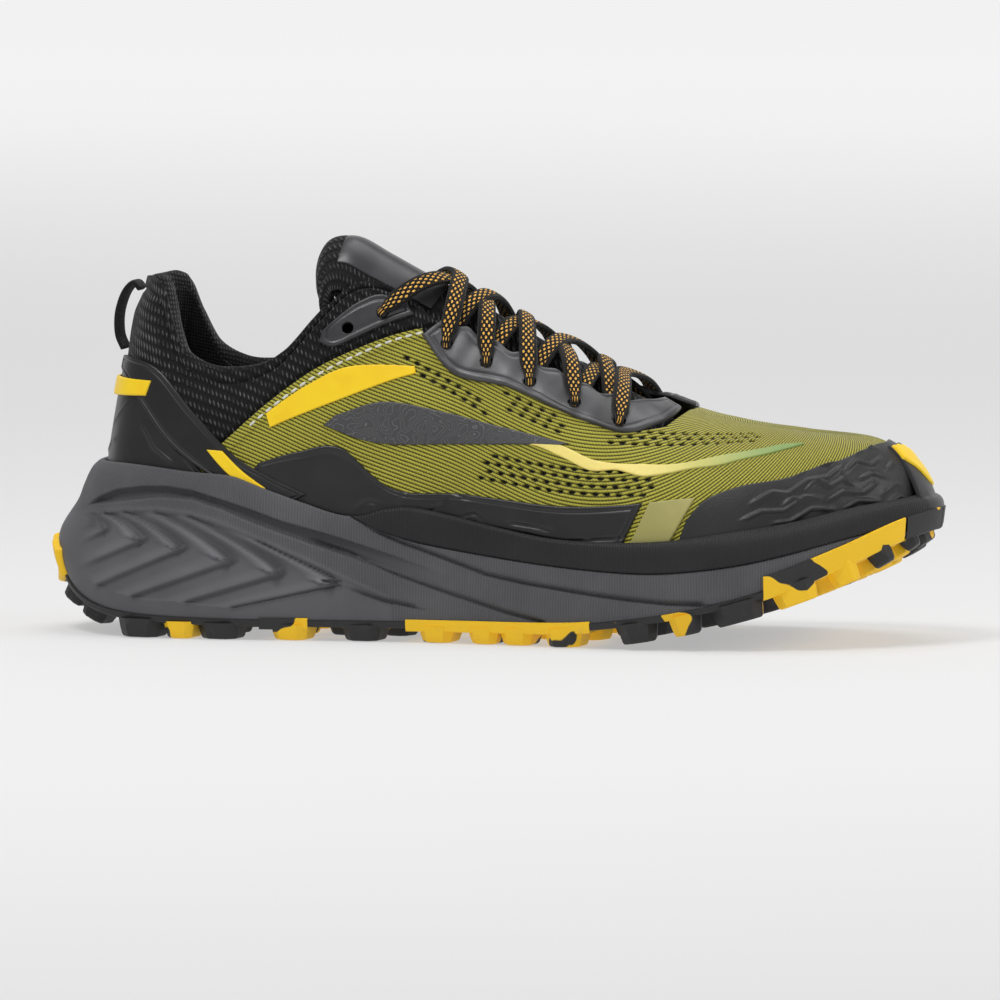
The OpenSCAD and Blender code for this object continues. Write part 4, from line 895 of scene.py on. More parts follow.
yellow_zones = {"outsole_yellow_heel": (81, 97), "outsole_yellow_midfoot": (130, 194), "outsole_yellow_forefoot": (251, 291.5)}
edge_lugs = [(11.5, 7), (19.5, 8), (40.5, 13), (54.5, 8.5), (67.5, 12.5), (91.2, 11), (115, 11.5), (140.5, 10), (157, 8.5),
             (168.5, 9.5), (184.8, 11), (209.8, 11), (226, 8.5), (243, 15), (261, 13), (275.5, 9), (286, 7), (293, 5)]
inner_lugs = [34, 50, 66, 89, 104, 122, 152, 172, 188, 210, 229, 247, 264, 278]


def u_at(x):
    s = on_ring(sole_ring, np.linspace(0, 1, 2001))[:, 0]
    return float(np.interp(x, s, np.linspace(0, 1, 2001)))


def lugs_of(test):
    parts = []
    for x, lx in edge_lugs:
        for side in (-1, 1):
            if test(x):
                ly = 13 if x < 250 else 11
                y = edge_y(x, side) * (.5 if x < 20 or x > 290 else 1) - side * (0 if x < 20 or x > 290 else ly / 2 + .2)
                parts.append(lug_mesh(x, float(y), lx, ly, side * (-10 if x > 200 else 7), -1.4 if x < 20 else 0))
    for x in inner_lugs:
        for side in (-1, 1):
            if test(x):
                parts.append(lug_mesh(x, float(edge_y(x, side)) * .3, 9, 10, side * 20))
                if x > 120:
                    parts.append(lug_mesh(x + 9, float(edge_y(x, side)) * .02 + side * 3, 6, 6, 45))
    return parts


def in_zone(x):
    return x < 284 and any(a <= x <= b for a, b in yellow_zones.values())


us = stretch(260)
toe_wrap = loft(sheet_loops(np.linspace(u_at(292), .9985, 60), SHEET_T * .4, SHEET_T + .7, 1.0, 5.0))
small = lambda x: x == 54.5
build("outsole_rubber", *merged([loft(sheet_loops(us, 0, SHEET_T, 1.0)), toe_wrap]
                                + lugs_of(lambda x: not in_zone(x) and not small(x))),
      M["black_rubber"], "black_rubber", nodes=("outsole_rubber",), crisp=28)
for zone, (a, b) in yellow_zones.items():
    uz = np.linspace(u_at(a), u_at(b), 60)
    web = loft(sheet_loops(uz, SHEET_T * .4, SHEET_T + .9, 1.0, 5.2 if a > 200 else 1.2))
    build(zone, *merged([web] + lugs_of(lambda x: a <= x <= b and in_zone(x) or (a < 90 and small(x)))), M["yellow_rubber"], "yellow_rubber",
          nodes=(zone,), crisp=28)


def shell_point(q, z, d):
    b = bite_z(q)
    low = wall_point(q, np.minimum(z, b)) + out_dir(q) * np.asarray(d)[..., None]
    k = np.clip((z - b) / 9, 0, 1)
    high = lip_point(q, np.maximum(z, b), LIP_D + LIP_T + (2.45 - LIP_D - LIP_T) * k + d)
    return np.where((z <= b)[..., None], low, high)


def wrap(name, q0, q1, na, nb, low, high, d0, d1, mat, slot, wobble=0.0):
    """Sheet bent round the wall; low and high list its edge heights at even steps from q0 to q1."""
    q = np.linspace(q0, q1, na + 1)[:, None]
    s = np.linspace(0, 1, na + 1)
    lo = rail(np.array(low)[:, None], s)[:, 0]
    hi = rail(np.array(high)[:, None], s)[:, 0] + wobble * np.sin(np.arange(na + 1) * .55) * np.sin(np.pi * s)
    z = lo[:, None] + (hi - lo)[:, None] * spaced(nb)[None, :]
    q = np.broadcast_to(q, z.shape)
    base = shell_point(q, z, np.zeros(z.shape))
    prof, _ = edge_round(base, 1.0)
    v, f = shell(shell_point(q, z, d0 + (d1 - d0) * prof), shell_point(q, z, np.full(z.shape, d0 - .2)))
    build(name, v, f, mat, slot, nodes=(name,))


wrap("outsole_yellow_rear", -.085, .085, 60, 24, [18, 15.5, 15, 15.5, 18], [27, 30, 31, 30, 27], .1, 2.2, M["yellow_rubber"],
     "yellow_rubber", .6)
wrap("toe_bumper", .966, 1.085, 90, 60, [44, 43, 43, 43, 44], [62.6, 62.6, 62.4, 61, 58], -.9, .5, M["black_film"], "black_rubber", .2)
wrap("toe_bumper_accent", .968, 1.07, 80, 30, [58.5, 56, 52, 49.8, 49.8, 52, 54], [62, 62, 61.4, 60, 58, 57, 56], .3, 1.3,
     M["yellow_film"], "yellow_rubber", .5)

# ---------------------------------------------------------------- mesh upper
SEAM_GAP = .0028


def seam_q(t): return .202 + .408 * t


throat_edge = [[seam_q(.6) - .001, .6], [.456, .55], [.47, .53], [.53, .525], [.59, .535], [.64, .533], [.685, .64],
               [.705, .8], [.722, 1]]


def hole_rows(a, b, n, rows, across, stagger=.5):
    """Rows of slots between two surface points; across is the step from row to row, in millimetres."""
    A, B = flat(*a), flat(*b)
    d = (B - A) / (n - 1)
    w = np.array(across, float)
    out = []
    for r in range(rows):
        for k in range(n):
            out.append([*(A + d * (k + stagger * (r % 2)) + w * r), math.atan2(d[1], d[0])])
    return out


slots = (hole_rows((.437, .486), (.505, .43), 8, 2, (.6, -3.1)) + hole_rows((.53, .492), (.574, .485), 5, 3, (.8, -2.7))
         + hole_rows((.426, .317), (.44, .272), 3, 2, (-3.4, -1.8))
         + hole_rows((.512, .19), (.66, .262), 15, 4, (.9, 2.6)) + hole_rows((.628, .457), (.776, .66), 13, 3, (.6, 2.6)))
slots = np.array(slots)


def slot_field(F):
    shape = F.shape[:-1]
    f = F.reshape(-1, 2)
    best = np.zeros(len(f))
    for u, v, a in slots:
        near = np.abs(f[:, 0] - u) < 3
        near &= np.abs(f[:, 1] - v) < 3
        if near.any():
            d = f[near] - [u, v]
            x, y = d[:, 0] * math.cos(a) + d[:, 1] * math.sin(a), -d[:, 0] * math.sin(a) + d[:, 1] * math.cos(a)
            e = np.sqrt((x / 1.25) ** 2 + (y / .72) ** 2)
            best[near] = np.maximum(best[near], 1 - smooth01((e - .75) / .4))
    return best.reshape(shape)


def knit_turn(F):
    """Shifts the second coordinate so that the ribs run level at the side and climb over the toe."""
    u = np.linspace(0, 320, 321)
    slope = .27 - 1.25 * smooth01((u - 150) / 120)
    lift = np.concatenate([[0], np.cumsum((slope[1:] + slope[:-1]) / 2)])
    return np.stack([F[..., 0], F[..., 1] + np.interp(F[..., 0], u, lift)], -1)


def vamp():
    na, nb = 700, 138
    lo, hi = .202 - .001, 2 - .202 + .001
    # finer columns along the two sides than round the toe
    x = np.linspace(0, 1, 4001)
    dens = 1 + 1.1 * (np.abs(x - .5) > .18)
    cum = np.concatenate([[0], np.cumsum((dens[1:] + dens[:-1]) / 2)])
    s = np.interp(np.linspace(0, 1, na + 1), cum / cum[-1], x)
    q_low = lo + (hi - lo) * s
    k = np.minimum(s, 1 - s) * 64
    half, first = 32, math.ceil(32 * (.722 - .202) / (1 - .202)) - 2
    edge = rail(throat_edge, np.clip(k / first, 0, 1))
    top = np.stack([.722 + (1 - .722) * np.clip((k - first) / (half - first), 0, 1), np.ones(len(k))], -1)
    up = np.where((k >= first)[:, None], top, edge)
    up = np.where((s <= .5)[:, None], up, np.stack([2 - up[:, 0], up[:, 1]], -1))
    low = np.stack([q_low, np.zeros(na + 1)], -1)
    r = np.linspace(0, 1, nb + 1) ** .92
    qt = low[:, None] + (up - low)[:, None] * r[None, :, None]
    q, t = qt[..., 0], qt[..., 1]
    F = flat(q, t)
    # the slots are sunk, not cut through, and their near-black colour is painted shade inside the holes
    mk = slot_field(F)
    P, N = raw(q, t), normal(q, t)
    soft = .12 * wave_noise(F[..., 0], F[..., 1], 5, 26)
    # the folded hem along the seam stands a little proud
    hem = .45 * smooth01((4.2 - np.abs(np.abs(q - 1) - (1 - seam_q(t))) * 290) / .5)
    outer = P + N * (1.1 + soft - .85 * mk + hem)[..., None]
    F = knit_turn(F)
    v, f = shell(outer, P + N * -.1)
    build("vamp_mesh", v, f, M["olive_mesh"], "olive_mesh", nodes=("vamp_mesh",), uv=np.concatenate([F.reshape(-1, 2)] * 2),
          mark=np.concatenate([mk.ravel(), mk.ravel() * 0]))


vamp()


def top_at(q):
    return curve(top_t, np.abs(q))


def heel_mesh():
    na, nb = 460, 110
    side = [[seam_q(.62 * i / 7), .62 * i / 7] for i in range(7, -1, -1)]
    tuck = .004
    low = [[-tuck - a, b] for a, b in side] + [[seam_q(0) * .96 * i / 7, 0] for i in range(-6, 7)] + [[a + tuck, b] for a, b in side[::-1]]
    s = np.linspace(0, 1, na + 1)
    lowp = rail(low, s, False)
    qh = (seam_q(.62) + tuck) * (2 * s - 1)
    high = np.stack([qh, top_at(qh) + .002], -1)
    qt = lowp[:, None] + (high - lowp)[:, None] * np.linspace(0, 1, nb + 1)[None, :, None]
    q, t = qt[..., 0], qt[..., 1]
    P, N = raw(q, t), normal(q, t)
    F = flat(np.abs(q), t)
    F[..., 0] *= np.where(q < 0, -1, 1)
    drop = (top_at(q) - t) * 190
    # the padding swells the fabric below a tight seam along the topline
    puff = 1.5 * smooth01((drop - 4.5) / 9) * smooth01((34 - drop) / 22) * smooth01((.36 - np.abs(q)) / .08)
    seam = .8 * np.exp(-((drop - 4.2) / .9) ** 2) * smooth01((.44 - np.abs(q)) / .02)
    under = .95 * smooth01((np.abs(q) - seam_q(t) + .009) / .006)
    outer = P + N * (1.1 + puff * .8 - seam - under + .1 * wave_noise(F[..., 0], F[..., 1], 9, 14))[..., None]
    v, f = shell(outer, P + N * -.1)
    ob = build("heel_mesh", v, f, M["black_mesh"], "black_mesh", nodes=("heel_mesh",), uv=np.concatenate([F.reshape(-1, 2)] * 2))
    return ob


heel_ob = heel_mesh()

eyelets = [[.636, .56], [.592, .566], [.55, .572], [.509, .574], [.471, .58]]
panel_holes = [[.409, .6], [.381, .512]]
HOLE_R = 2.0


def cutters(points, medial):
    out = []
    for q, t in points:
        q = 2 - q if medial else q
        out.append((raw(q, t), normal(q, t), HOLE_R))
    return out


cut(heel_ob, cutters(panel_holes, False) + cutters(panel_holes, True))

# ---------------------------------------------------------------- overlays
OV, OV_TOP, OV2, OV2_TOP, OV3, OV3_TOP = 1.2, 2.1, 2.1, 2.95, 2.9, 3.55


def emboss(lines, depth, width):
    """Raised (or sunk) strokes that thin out towards both ends."""
    def f(F, P, e):
        D = np.zeros(F.shape[:-1])
        for line in lines:
            line = np.asarray(line, float)
            d, _ = line_distance(F, line)
            ends = np.minimum(np.linalg.norm(F - line[0], axis=-1), np.linalg.norm(F - line[-1], axis=-1))
            D = np.maximum(D, np.exp(-(d / width) ** 2) * (.25 + .75 * smooth01(ends / (5 * width))))
        return D * depth
    return f


def rim_line(inset, depth, width):
    def f(F, P, e):
        return -depth * np.exp(-((e - inset) / width) ** 2)
    return f


def both(*fs):
    return lambda F, P, e: sum(f(F, P, e) for f in fs)


def wander(u0, u1, v0, v1, n, amp, seed):
    g = np.random.default_rng(seed)
    s = np.linspace(0, 1, n)
    return np.stack([u0 + (u1 - u0) * s, v0 + (v1 - v0) * s + amp * (g.uniform(-1, 1, n) + .6 * np.sin(s * 14 + seed))], -1)


mud_marks = [[[120, 6], [121, 12], [135, 14], [144, 12]], [[128, 5], [134, 9], [137, 13]], [[141, 6], [146, 8], [150, 6]],
             [[104, 5], [108, 8], [113, 8]], [[186, 5], [205, 7], [214, 10], [222, 9], [230, 13]],
             [[150, 4], [165, 4.5], [178, 4], [186, 5]], [[214, 6], [222, 6.5], [228, 10]], [[158, 7], [166, 7.4], [174, 7]]]
roots = [[[236, 8], [243, 10], [250, 9], [257, 12], [262, 11]], [[240, 13], [247, 15.5], [252, 14], [259, 17], [266, 16.5], [272, 19]],
         [[246, 6], [252, 5.5], [259, 8], [266, 6.5]], [[258, 14], [262, 17], [266, 13.5], [271, 15], [275, 12]],
         [[256, 20], [262, 22.5], [268, 21], [274, 24]], [[264, 9], [270, 11], [277, 9.5], [283, 12]],
         [[268, 5.5], [275, 7.5], [282, 6]], [[272, 17], [278, 20], [283, 17.5], [289, 19.5]], [[276, 13.5], [282, 15], [288, 12.5]],
         [[284, 8], [290, 10.5], [296, 8.5]], [[280, 23], [286, 25.5], [291, 23]], [[288, 15], [293, 17], [297, 14]],
         [[250, 10.5], [253, 12.5], [257, 11]], [[286, 5], [291, 6.5], [296, 5]]]
counter_marks = [[[-26, 34], [0, 36], [26, 34]], [[12, 22], [17, 25], [24, 31]], [[8, 12], [14, 17], [20, 18]], [[30, 24], [36, 16], [44, 11]],
                 [[6, 5], [20, 4.5], [34, 5]], [[24, 12], [28, 8], [33, 7]], [[48, 17], [53, 13], [58, 12]]]

for medial in (False, True):
    tag = "medial" if medial else "lateral"
    panel("mudguard_" + tag,
          [[.275, .005], [.34, .005], [.4, .005], [.46, .005], [.52, .005], [.58, .005], [.635, .005]],
          [[.318, .155], [.352, .192], [.388, .212], [.436, .117], [.5, .13], [.58, .165], [.66, .226]],
          240, 50, OV, OV_TOP, M["black_film"], "black_film", medial,
          shape=both(emboss(mud_marks, -.6, .45), rim_line(2.0, .25, .35)))
    panel("side_band_" + tag, [[.642, .005], [.661, .005], [.679, .005]], [[.667, .232], [.69, .25], [.711, .26]],
          50, 60, OV, OV_TOP - .15, M["olive_film"], "olive_film", medial)
    zig = [[.465, .685], [.478, .672], [.488, .69], [.5, .662], [.514, .69], [.528, .668], [.541, .695], [.556, .664], [.572, .69],
           [.586, .664], [.6, .688], [.614, .668], [.628, .705], [.642, .7], [.656, .755], [.668, .8], [.678, .86], [.684, .92]]
    stay = panel("eyestay_" + tag,
                 [[.447, .575], [.482, .483], [.535, .516], [.6, .508], [.645, .526], [.68, .655], [.696, .76], [.704, .86]],
                 zig, 260, 40, OV, OV_TOP + .45, M["grey_film"], "grey_film", medial, width=.9,
                 shape=both(rim_line(2.4, .3, .4), lambda F, P, e: .15 * wave_noise(F[..., 0], F[..., 1], 3, 9)))
    cut(stay, cutters(eyelets, medial))
    pan = panel("eyelet_panel_" + tag, [[.358, .45], [.372, .452], [.395, .512], [.415, .572], [.437, .64]],
                [[.36, .48], [.375, .55], [.388, .61], [.404, .66], [.428, .668]], 110, 44, OV, OV_TOP + .35, M["panel_film"],
                "black_film", medial, width=.9, shape=rim_line(2.0, .4, .4))
    cut(pan, cutters(panel_holes, medial))
    panel("heel_strap_" + tag,
          [[.07, .335], [.13, .315], [.175, .268], [.222, .19], [.265, .122], [.3, .066], [.335, .02]],
          [[.07, .36], [.13, .358], [.195, .338], [.254, .25], [.296, .166], [.33, .118], [.36, .082]],
          200, 40, OV2, OV2_TOP, M["strap_film"], "black_film", medial, shape=both(rim_line(1.6, .35, .3)))
    panel("side_bar_" + tag, [[.267, .179], [.289, .122], [.312, .07]], [[.283, .178], [.304, .13], [.326, .086]],
          60, 16, OV3, OV3_TOP, M["yellow_film"], "yellow_film", medial, width=.5)
    panel("side_emblem_" + tag, [[.37, .26], [.42, .235], [.47, .255], [.52, .3], [.58, .375]],
          [[.38, .29], [.42, .345], [.47, .355], [.52, .365], [.59, .395]], 160, 40, OV, OV + .55, M["grey_print"], "grey_film", medial, width=.5)
    panel("side_print_" + tag, [[.325, .24], [.365, .3], [.405, .37], [.447, .447]], [[.32, .27], [.355, .35], [.39, .42], [.445, .468]],
          120, 30, OV, OV + .5, M["yellow_film"], "yellow_film", medial, width=.4)
    panel("side_streak_" + tag,
          [[.535, .322], [.56, .345], [.585, .335], [.61, .318], [.635, .345], [.66, .34], [.685, .37], [.71, .41], [.735, .44],
           [.76, .49], [.79, .545], [.815, .6], [.84, .66]],
          [[.535, .33], [.56, .372], [.585, .378], [.61, .362], [.635, .372], [.66, .395], [.685, .415], [.71, .45], [.735, .5],
           [.76, .545], [.79, .6], [.815, .65], [.84, .672]], 260, 18, OV, OV + .45, M["pale_film"], "pale_film", medial, width=.4)

half_edge = [[.702, .157], [.722, .255], [.758, .325], [.804, .365], [.841, .432], [.872, .48], [.908, .565], [.95, .65]]
half_foot = [[.69, .005], [.73, .005], [.77, .005], [.81, .005], [.85, .005], [.89, .005], [.93, .005], [.965, .005]]
panel("toe_cap", half_foot + [[1, .005]] + flip(half_foot), half_edge + [[1, .68]] + flip(half_edge), 420, 90, OV, OV_TOP,
      M["toe_film"], "toe_film", shape=emboss(roots, .9, .62))
ctop = [[0, .36], [.07, .355], [.12, .347], [.16, .318], [.2, .252], [.24, .175], [.265, .118]]
cfoot = [[a * .98, .005] for a, b in ctop]
whole = lambda p: [[-a, b] for a, b in p[:0:-1]] + p
panel("heel_counter", whole(cfoot), whole(ctop), 300, 90, OV, OV_TOP, M["black_film"], "black_film",
      shape=both(emboss(counter_marks, .4, .5), rim_line(2.0, .25, .35)))
panel("heel_accent", [[-.18, .288], [-.09, .284], [0, .282], [.09, .284], [.18, .288]],
      [[-.185, .318], [-.09, .32], [0, .32], [.09, .32], [.185, .318]], 160, 24, OV3 - .1, OV3_TOP, M["yellow_film"], "yellow_film", width=.5)


# ---------------------------------------------------------------- stitches
def capsule(a, b, n, r, flatness=.6):
    d = b - a
    L = np.linalg.norm(d)
    d = d / L
    e = unit(np.cross(d, n))
    pts, faces = [], []
    prof = [(0, .25), (.08, .7), (.22, 1), (.5, 1.05), (.78, 1), (.92, .7), (1, .25)]
    for s, w in prof:
        for k in range(8):
            x = 2 * math.pi * k / 8
            pts.append(a + d * L * s + e * math.cos(x) * r * w + n * math.sin(x) * r * flatness * w)
    for i in range(len(prof) - 1):
        for k in range(8):
            faces.append([i * 8 + k, i * 8 + (k + 1) % 8, (i + 1) * 8 + (k + 1) % 8, (i + 1) * 8 + k])
    faces.append(list(range(7, -1, -1)))
    faces.append([(len(prof) - 1) * 8 + k for k in range(8)])
    return np.array(pts), faces


def stitches(path, depth, length, gap, r):
    """path: surface parameters (q, t) rows; stitches of even length along it."""
    P, N = raw(path[:, 0], path[:, 1]), normal(path[:, 0], path[:, 1])
    P = P + N * depth
    cum = np.concatenate([[0], np.cumsum(np.linalg.norm(np.diff(P, axis=0), axis=1))])
    parts = []
    s = gap
    while s + length < cum[-1]:
        a, b = ([np.interp(x, cum, P[:, k]) for k in range(3)] for x in (s, s + length))
        n = unit(np.array([np.interp(s + length / 2, cum, N[:, k]) for k in range(3)]))
        parts.append(capsule(np.array(a), np.array(b), n, r))
        s += length + gap
    return merged(parts)


tt = np.linspace(.235, .6, 80)
for medial in (False, True):
    q = seam_q(tt) + .0065
    path = np.stack([2 - q if medial else q, tt], -1)
    build("seam_stitching_" + ("medial" if medial else "lateral"), *stitches(path, 1.62, 2.4, 1.1, .42), M["thread"], "thread",
          nodes=("seam_stitching_" + ("medial" if medial else "lateral"),))

# ---------------------------------------------------------------- tongue
tongue_line = [[212, 72.5], [198, 79.5], [180, 89.4], [160, 100.8], [142, 110.8], [128, 118.2], [116, 124.6],
               [106, 129.8], [97.5, 130], [91.8, 125.5], [89.8, 118]]
tongue_half_w = [[0, 12], [.25, 15], [.6, 16], [.8, 16], [.92, 15.5], [1, 14]]
tongue_sag = [[0, 8], [.25, 12.5], [.6, 14.5], [.8, 16], [.92, 17], [1, 17]]
tongue_thick = [[0, 2], [.3, 3], [.7, 5.5], [.9, 6], [1, 5]]


def tongue_point(s, v, k):
    s, v, k = np.broadcast_arrays(s, v, k)

    def fr(s):
        t = unit(rail(tongue_line, s + .01) - rail(tongue_line, s - .01))
        return np.stack([t[..., 1], -t[..., 0]], -1)
    p, n, g = rail(tongue_line, s), fr(s), fr(np.minimum(s, .55))
    g = unit(g + (np.array([-.25, 1]) - g) * smooth01((s - .55) / .4)[..., None])
    h = curve(tongue_sag, s) * np.abs(v) ** 2.1
    return np.stack([p[..., 0] + n[..., 0] * k - g[..., 0] * h, curve(spine_y, p[..., 0]) + curve(tongue_half_w, s) * v,
                     p[..., 1] + n[..., 1] * k - g[..., 1] * h], -1)


def puffed(name, v, f, mat, slot, nodes, body, uv, pressure, cap, frames=16):
    """Padded fabric: blown up by a cloth simulation, kept within cap of its start, then smoothed."""
    ob = build(name, v, f, mat, slot, body, nodes, uv)
    me = ob.data
    start = np.empty(len(me.vertices) * 3)
    me.vertices.foreach_get("co", start)
    start = start.reshape(-1, 3)
    scale = 20.0
    me.vertices.foreach_set("co", (start * scale).ravel())
    me.update()
    c = ob.modifiers.new("c", "CLOTH")
    c.settings.use_pressure = True
    c.settings.uniform_pressure_force = pressure
    c.settings.effector_weights.gravity = 0
    c.settings.tension_stiffness = c.settings.compression_stiffness = 25
    c.settings.bending_stiffness = 2
    c.point_cache.frame_start, c.point_cache.frame_end = 1, frames
    for i in range(1, frames + 1):
        bpy.context.scene.frame_set(i)
    bake_modifiers(ob)
    bpy.context.scene.frame_set(1)
    me = ob.data
    end = np.empty(len(me.vertices) * 3)
    me.vertices.foreach_get("co", end)
    end = end.reshape(-1, 3) / scale
    move = end - start
    far = np.linalg.norm(move, axis=1, keepdims=True)
    end = start + move * np.minimum(1, cap * .001 / np.maximum(far, 1e-9))
    if not np.isfinite(end).all():
        end = start
    me.vertices.foreach_set("co", end.ravel())
    me.update()
    m = ob.modifiers.new("s", "SMOOTH")
    m.factor, m.iterations = .5, 3
    m = ob.modifiers.new("d", "SUBSURF")
    m.levels = m.render_levels = 1
    bake_modifiers(ob)
    return ob


def tongue_shell(s0, s1, half, na, nb, lo, hi, welt=0.0):
    s, v = np.linspace(s0, s1, na + 1)[:, None], half * (1 - 2 * np.linspace(0, 1, nb + 1))[None, :]
    th = curve(tongue_thick, s)
    edge = np.sqrt(np.clip(1 - np.abs(v / half) ** 6, .05, 1)) * np.sqrt(np.clip((s1 - s) / .035, .04, 1))
    groove = welt * np.exp(-((np.abs(v) / half - .8) / .035) ** 2)
    mid = (lo[0] + hi[0]) / 2 * th + (lo[1] + hi[1]) / 2
    outer = tongue_point(s, v, -(mid + (hi[0] * th + hi[1] - mid) * edge) - groove)
    inner = tongue_point(s, v, -(mid + (lo[0] * th + lo[1] - mid) * edge))
    du = np.linalg.norm(np.diff(outer[:, nb // 2], axis=0), axis=1)
    dv = np.cumsum(np.linalg.norm(np.diff(outer, axis=1), axis=2), 1)
    dv = np.concatenate([np.zeros((na + 1, 1)), dv], 1)
    along = np.concatenate([[0], np.cumsum(du)])[:, None]
    uv = np.stack(np.broadcast_arrays(along, dv - dv[:, nb // 2:nb // 2 + 1]), -1).reshape(-1, 2)
    return shell(outer, inner), np.concatenate([uv, uv])


(tv, tf), tuv = tongue_shell(.0, 1, .97, 120, 64, [.95, 0], [.06, 0], .7)
tongue = puffed("tongue_body", tv, tf, M["tongue_mesh"], "black_mesh", ("tongue_body",), "tongue", tuv, 5, .8)
(lv, lf), luv = tongue_shell(0, 1, .9, 90, 30, [1, 1.1], [1, .25])
build("tongue_lining", lv, lf, M["black_lining"], "black_lining", "tongue", ("tongue_lining",), luv)
(pv, pf), puv = tongue_shell(.44, .745, .74, 90, 50, [0, 0], [0, -.75])
build("tongue_patch", pv, pf, M["panel_film"], "grey_film", "tongue", ("tongue_patch",), puv)

# ---------------------------------------------------------------- collar padding and lining
cq = np.linspace(-.36, .36, 300)


def collar_pad():
    """Rolled collar: over the topline from the outer seam to the lining."""
    loops = []
    top = top_at(cq)
    prof = [(-.022, .9, 1), (-.012, 1.3, 1), (.0, 1.2, 1), (.009, .2, 1), (.013, -1.8, 1), (.012, -4.2, 1), (.002, -6.3, 1), (-.016, -7.4, 1),
            (-.034, -6.6, 1), (-.036, -4, 1), (-.03, -1.2, 1)]
    for dt, d, _ in prof:
        loops.append(raw(cq, top + dt) + normal(cq, top + dt) * d)
    rows = np.stack(loops, 1)[:, ::-1]
    u = np.concatenate([[0], np.cumsum(np.linalg.norm(np.diff(rows[:, 0], axis=0), axis=1))])
    uv = np.stack(np.broadcast_arrays(u[:, None], np.arange(rows.shape[1])[None, :] * 2.0), -1)
    return loft(rows), uv.reshape(-1, 2)


(pv, pf), puv = collar_pad()
puffed("collar_binding", pv, pf, M["collar_knit"], "black_lining", ("collar_binding",), "shoe", puv, 4, .6)


def collar_lining():
    na, nb = 300, 60
    q = np.linspace(-.345, .345, na + 1)[:, None]
    k = np.linspace(0, 1, nb + 1)[None, :]
    top = top_at(q)
    t = np.maximum(top - .012, .03) * (1 - k) + .03 * k
    P, N = raw(q, t), normal(q, t)
    F = flat(np.abs(q), t)
    F[..., 0] *= np.where(q < 0, -1, 1)
    swell = 1.0 * np.sin(np.pi * np.clip(k * 1.5, 0, 1)) + .35 * np.sin(F[..., 0] * 2 * np.pi / 7.5) * (1 - k) * k * 3
    d = -(6.6 - 4.4 * smooth01(k * 1.15)) - swell
    inner = P + N * (d - .7)[..., None]
    outer = P + N * d[..., None]
    v, f = shell(outer, inner)
    build("collar_lining", v, f, M["black_lining"], "black_lining", nodes=("collar_lining",), uv=np.concatenate([F.reshape(-1, 2)] * 2))


collar_lining()

# ---------------------------------------------------------------- lace
levels = eyelets + [panel_holes[0]]
LACE_W, LACE_T, BELOW, ABOVE = 6.0, 2.3, -.2, 4.0


def throat_point(u, hole_t, a, d):
    t = 1 - (1 - hole_t) * abs(a)
    q = u if a < 0 else 2 - u
    n = normal(q, t)
    return raw(q, t) + n * d, n


def leg(i, j, side, d):
    out = []
    for f, h in d:
        a = side * (1 - 2 * f)
        e, g = levels[i], levels[j]
        k = f ** 2.2 if j == 5 else f
        out.append(throat_point(e[0] + (g[0] - e[0]) * k, e[1] + (g[1] - e[1]) * f, a, h))
    return out


def mixf(a, b, t): return a + (b - a) * t


def in_hole(i, side, up):
    e = levels[i]
    return [throat_point(e[0], e[1], side, d) for d in ([.3, 1.9, 3.7] if up else [3.7, 1.9, .3])]


def over_leg(h):
    return [[.09, ABOVE], [.2, ABOVE - .2], [.35, mixf(ABOVE, h, .6)], [.5, h], [.64, mixf(h, .6, .45)], [.78, .5], [.91, BELOW]]


def last_leg(h):
    return [[.09, ABOVE], [.2, ABOVE - .2], [.35, mixf(ABOVE, h, .6)], [.5, h], [.66, mixf(h, ABOVE, .5)], [.8, ABOVE - .2], [.91, ABOVE]]


def under_leg(h):
    return [[.09, BELOW], [.2, BELOW + .3], [.35, mixf(BELOW, h, .7)], [.5, h], [.65, mixf(BELOW, h, .7)], [.8, BELOW + .3], [.91, BELOW]]


def half_lace(side, h, hu):
    tag = lambda pts, hole, turn: [(p, n, hole, turn) for p, n in pts]
    e = levels[5]
    return (tag(in_hole(0, side, False), 1, 1) + tag(leg(0, 1, side, under_leg(hu)), 0, -1)
            + tag(in_hole(1, -side, True), 1, -1) + tag(leg(1, 2, -side, over_leg(h)), 0, 1)
            + tag(in_hole(2, side, True), 1, 1) + tag(leg(2, 3, side, over_leg(h)), 0, -1)
            + tag(in_hole(3, -side, True), 1, -1) + tag(leg(3, 4, -side, over_leg(h)), 0, 1)
            + tag(in_hole(4, side, True), 1, 1) + tag(leg(4, 5, side, last_leg(h)), 0, -1)
            + tag([throat_point(e[0], e[1], -side, d) for d in (3.7, 1.9, .3, -.6)], 1, -1))


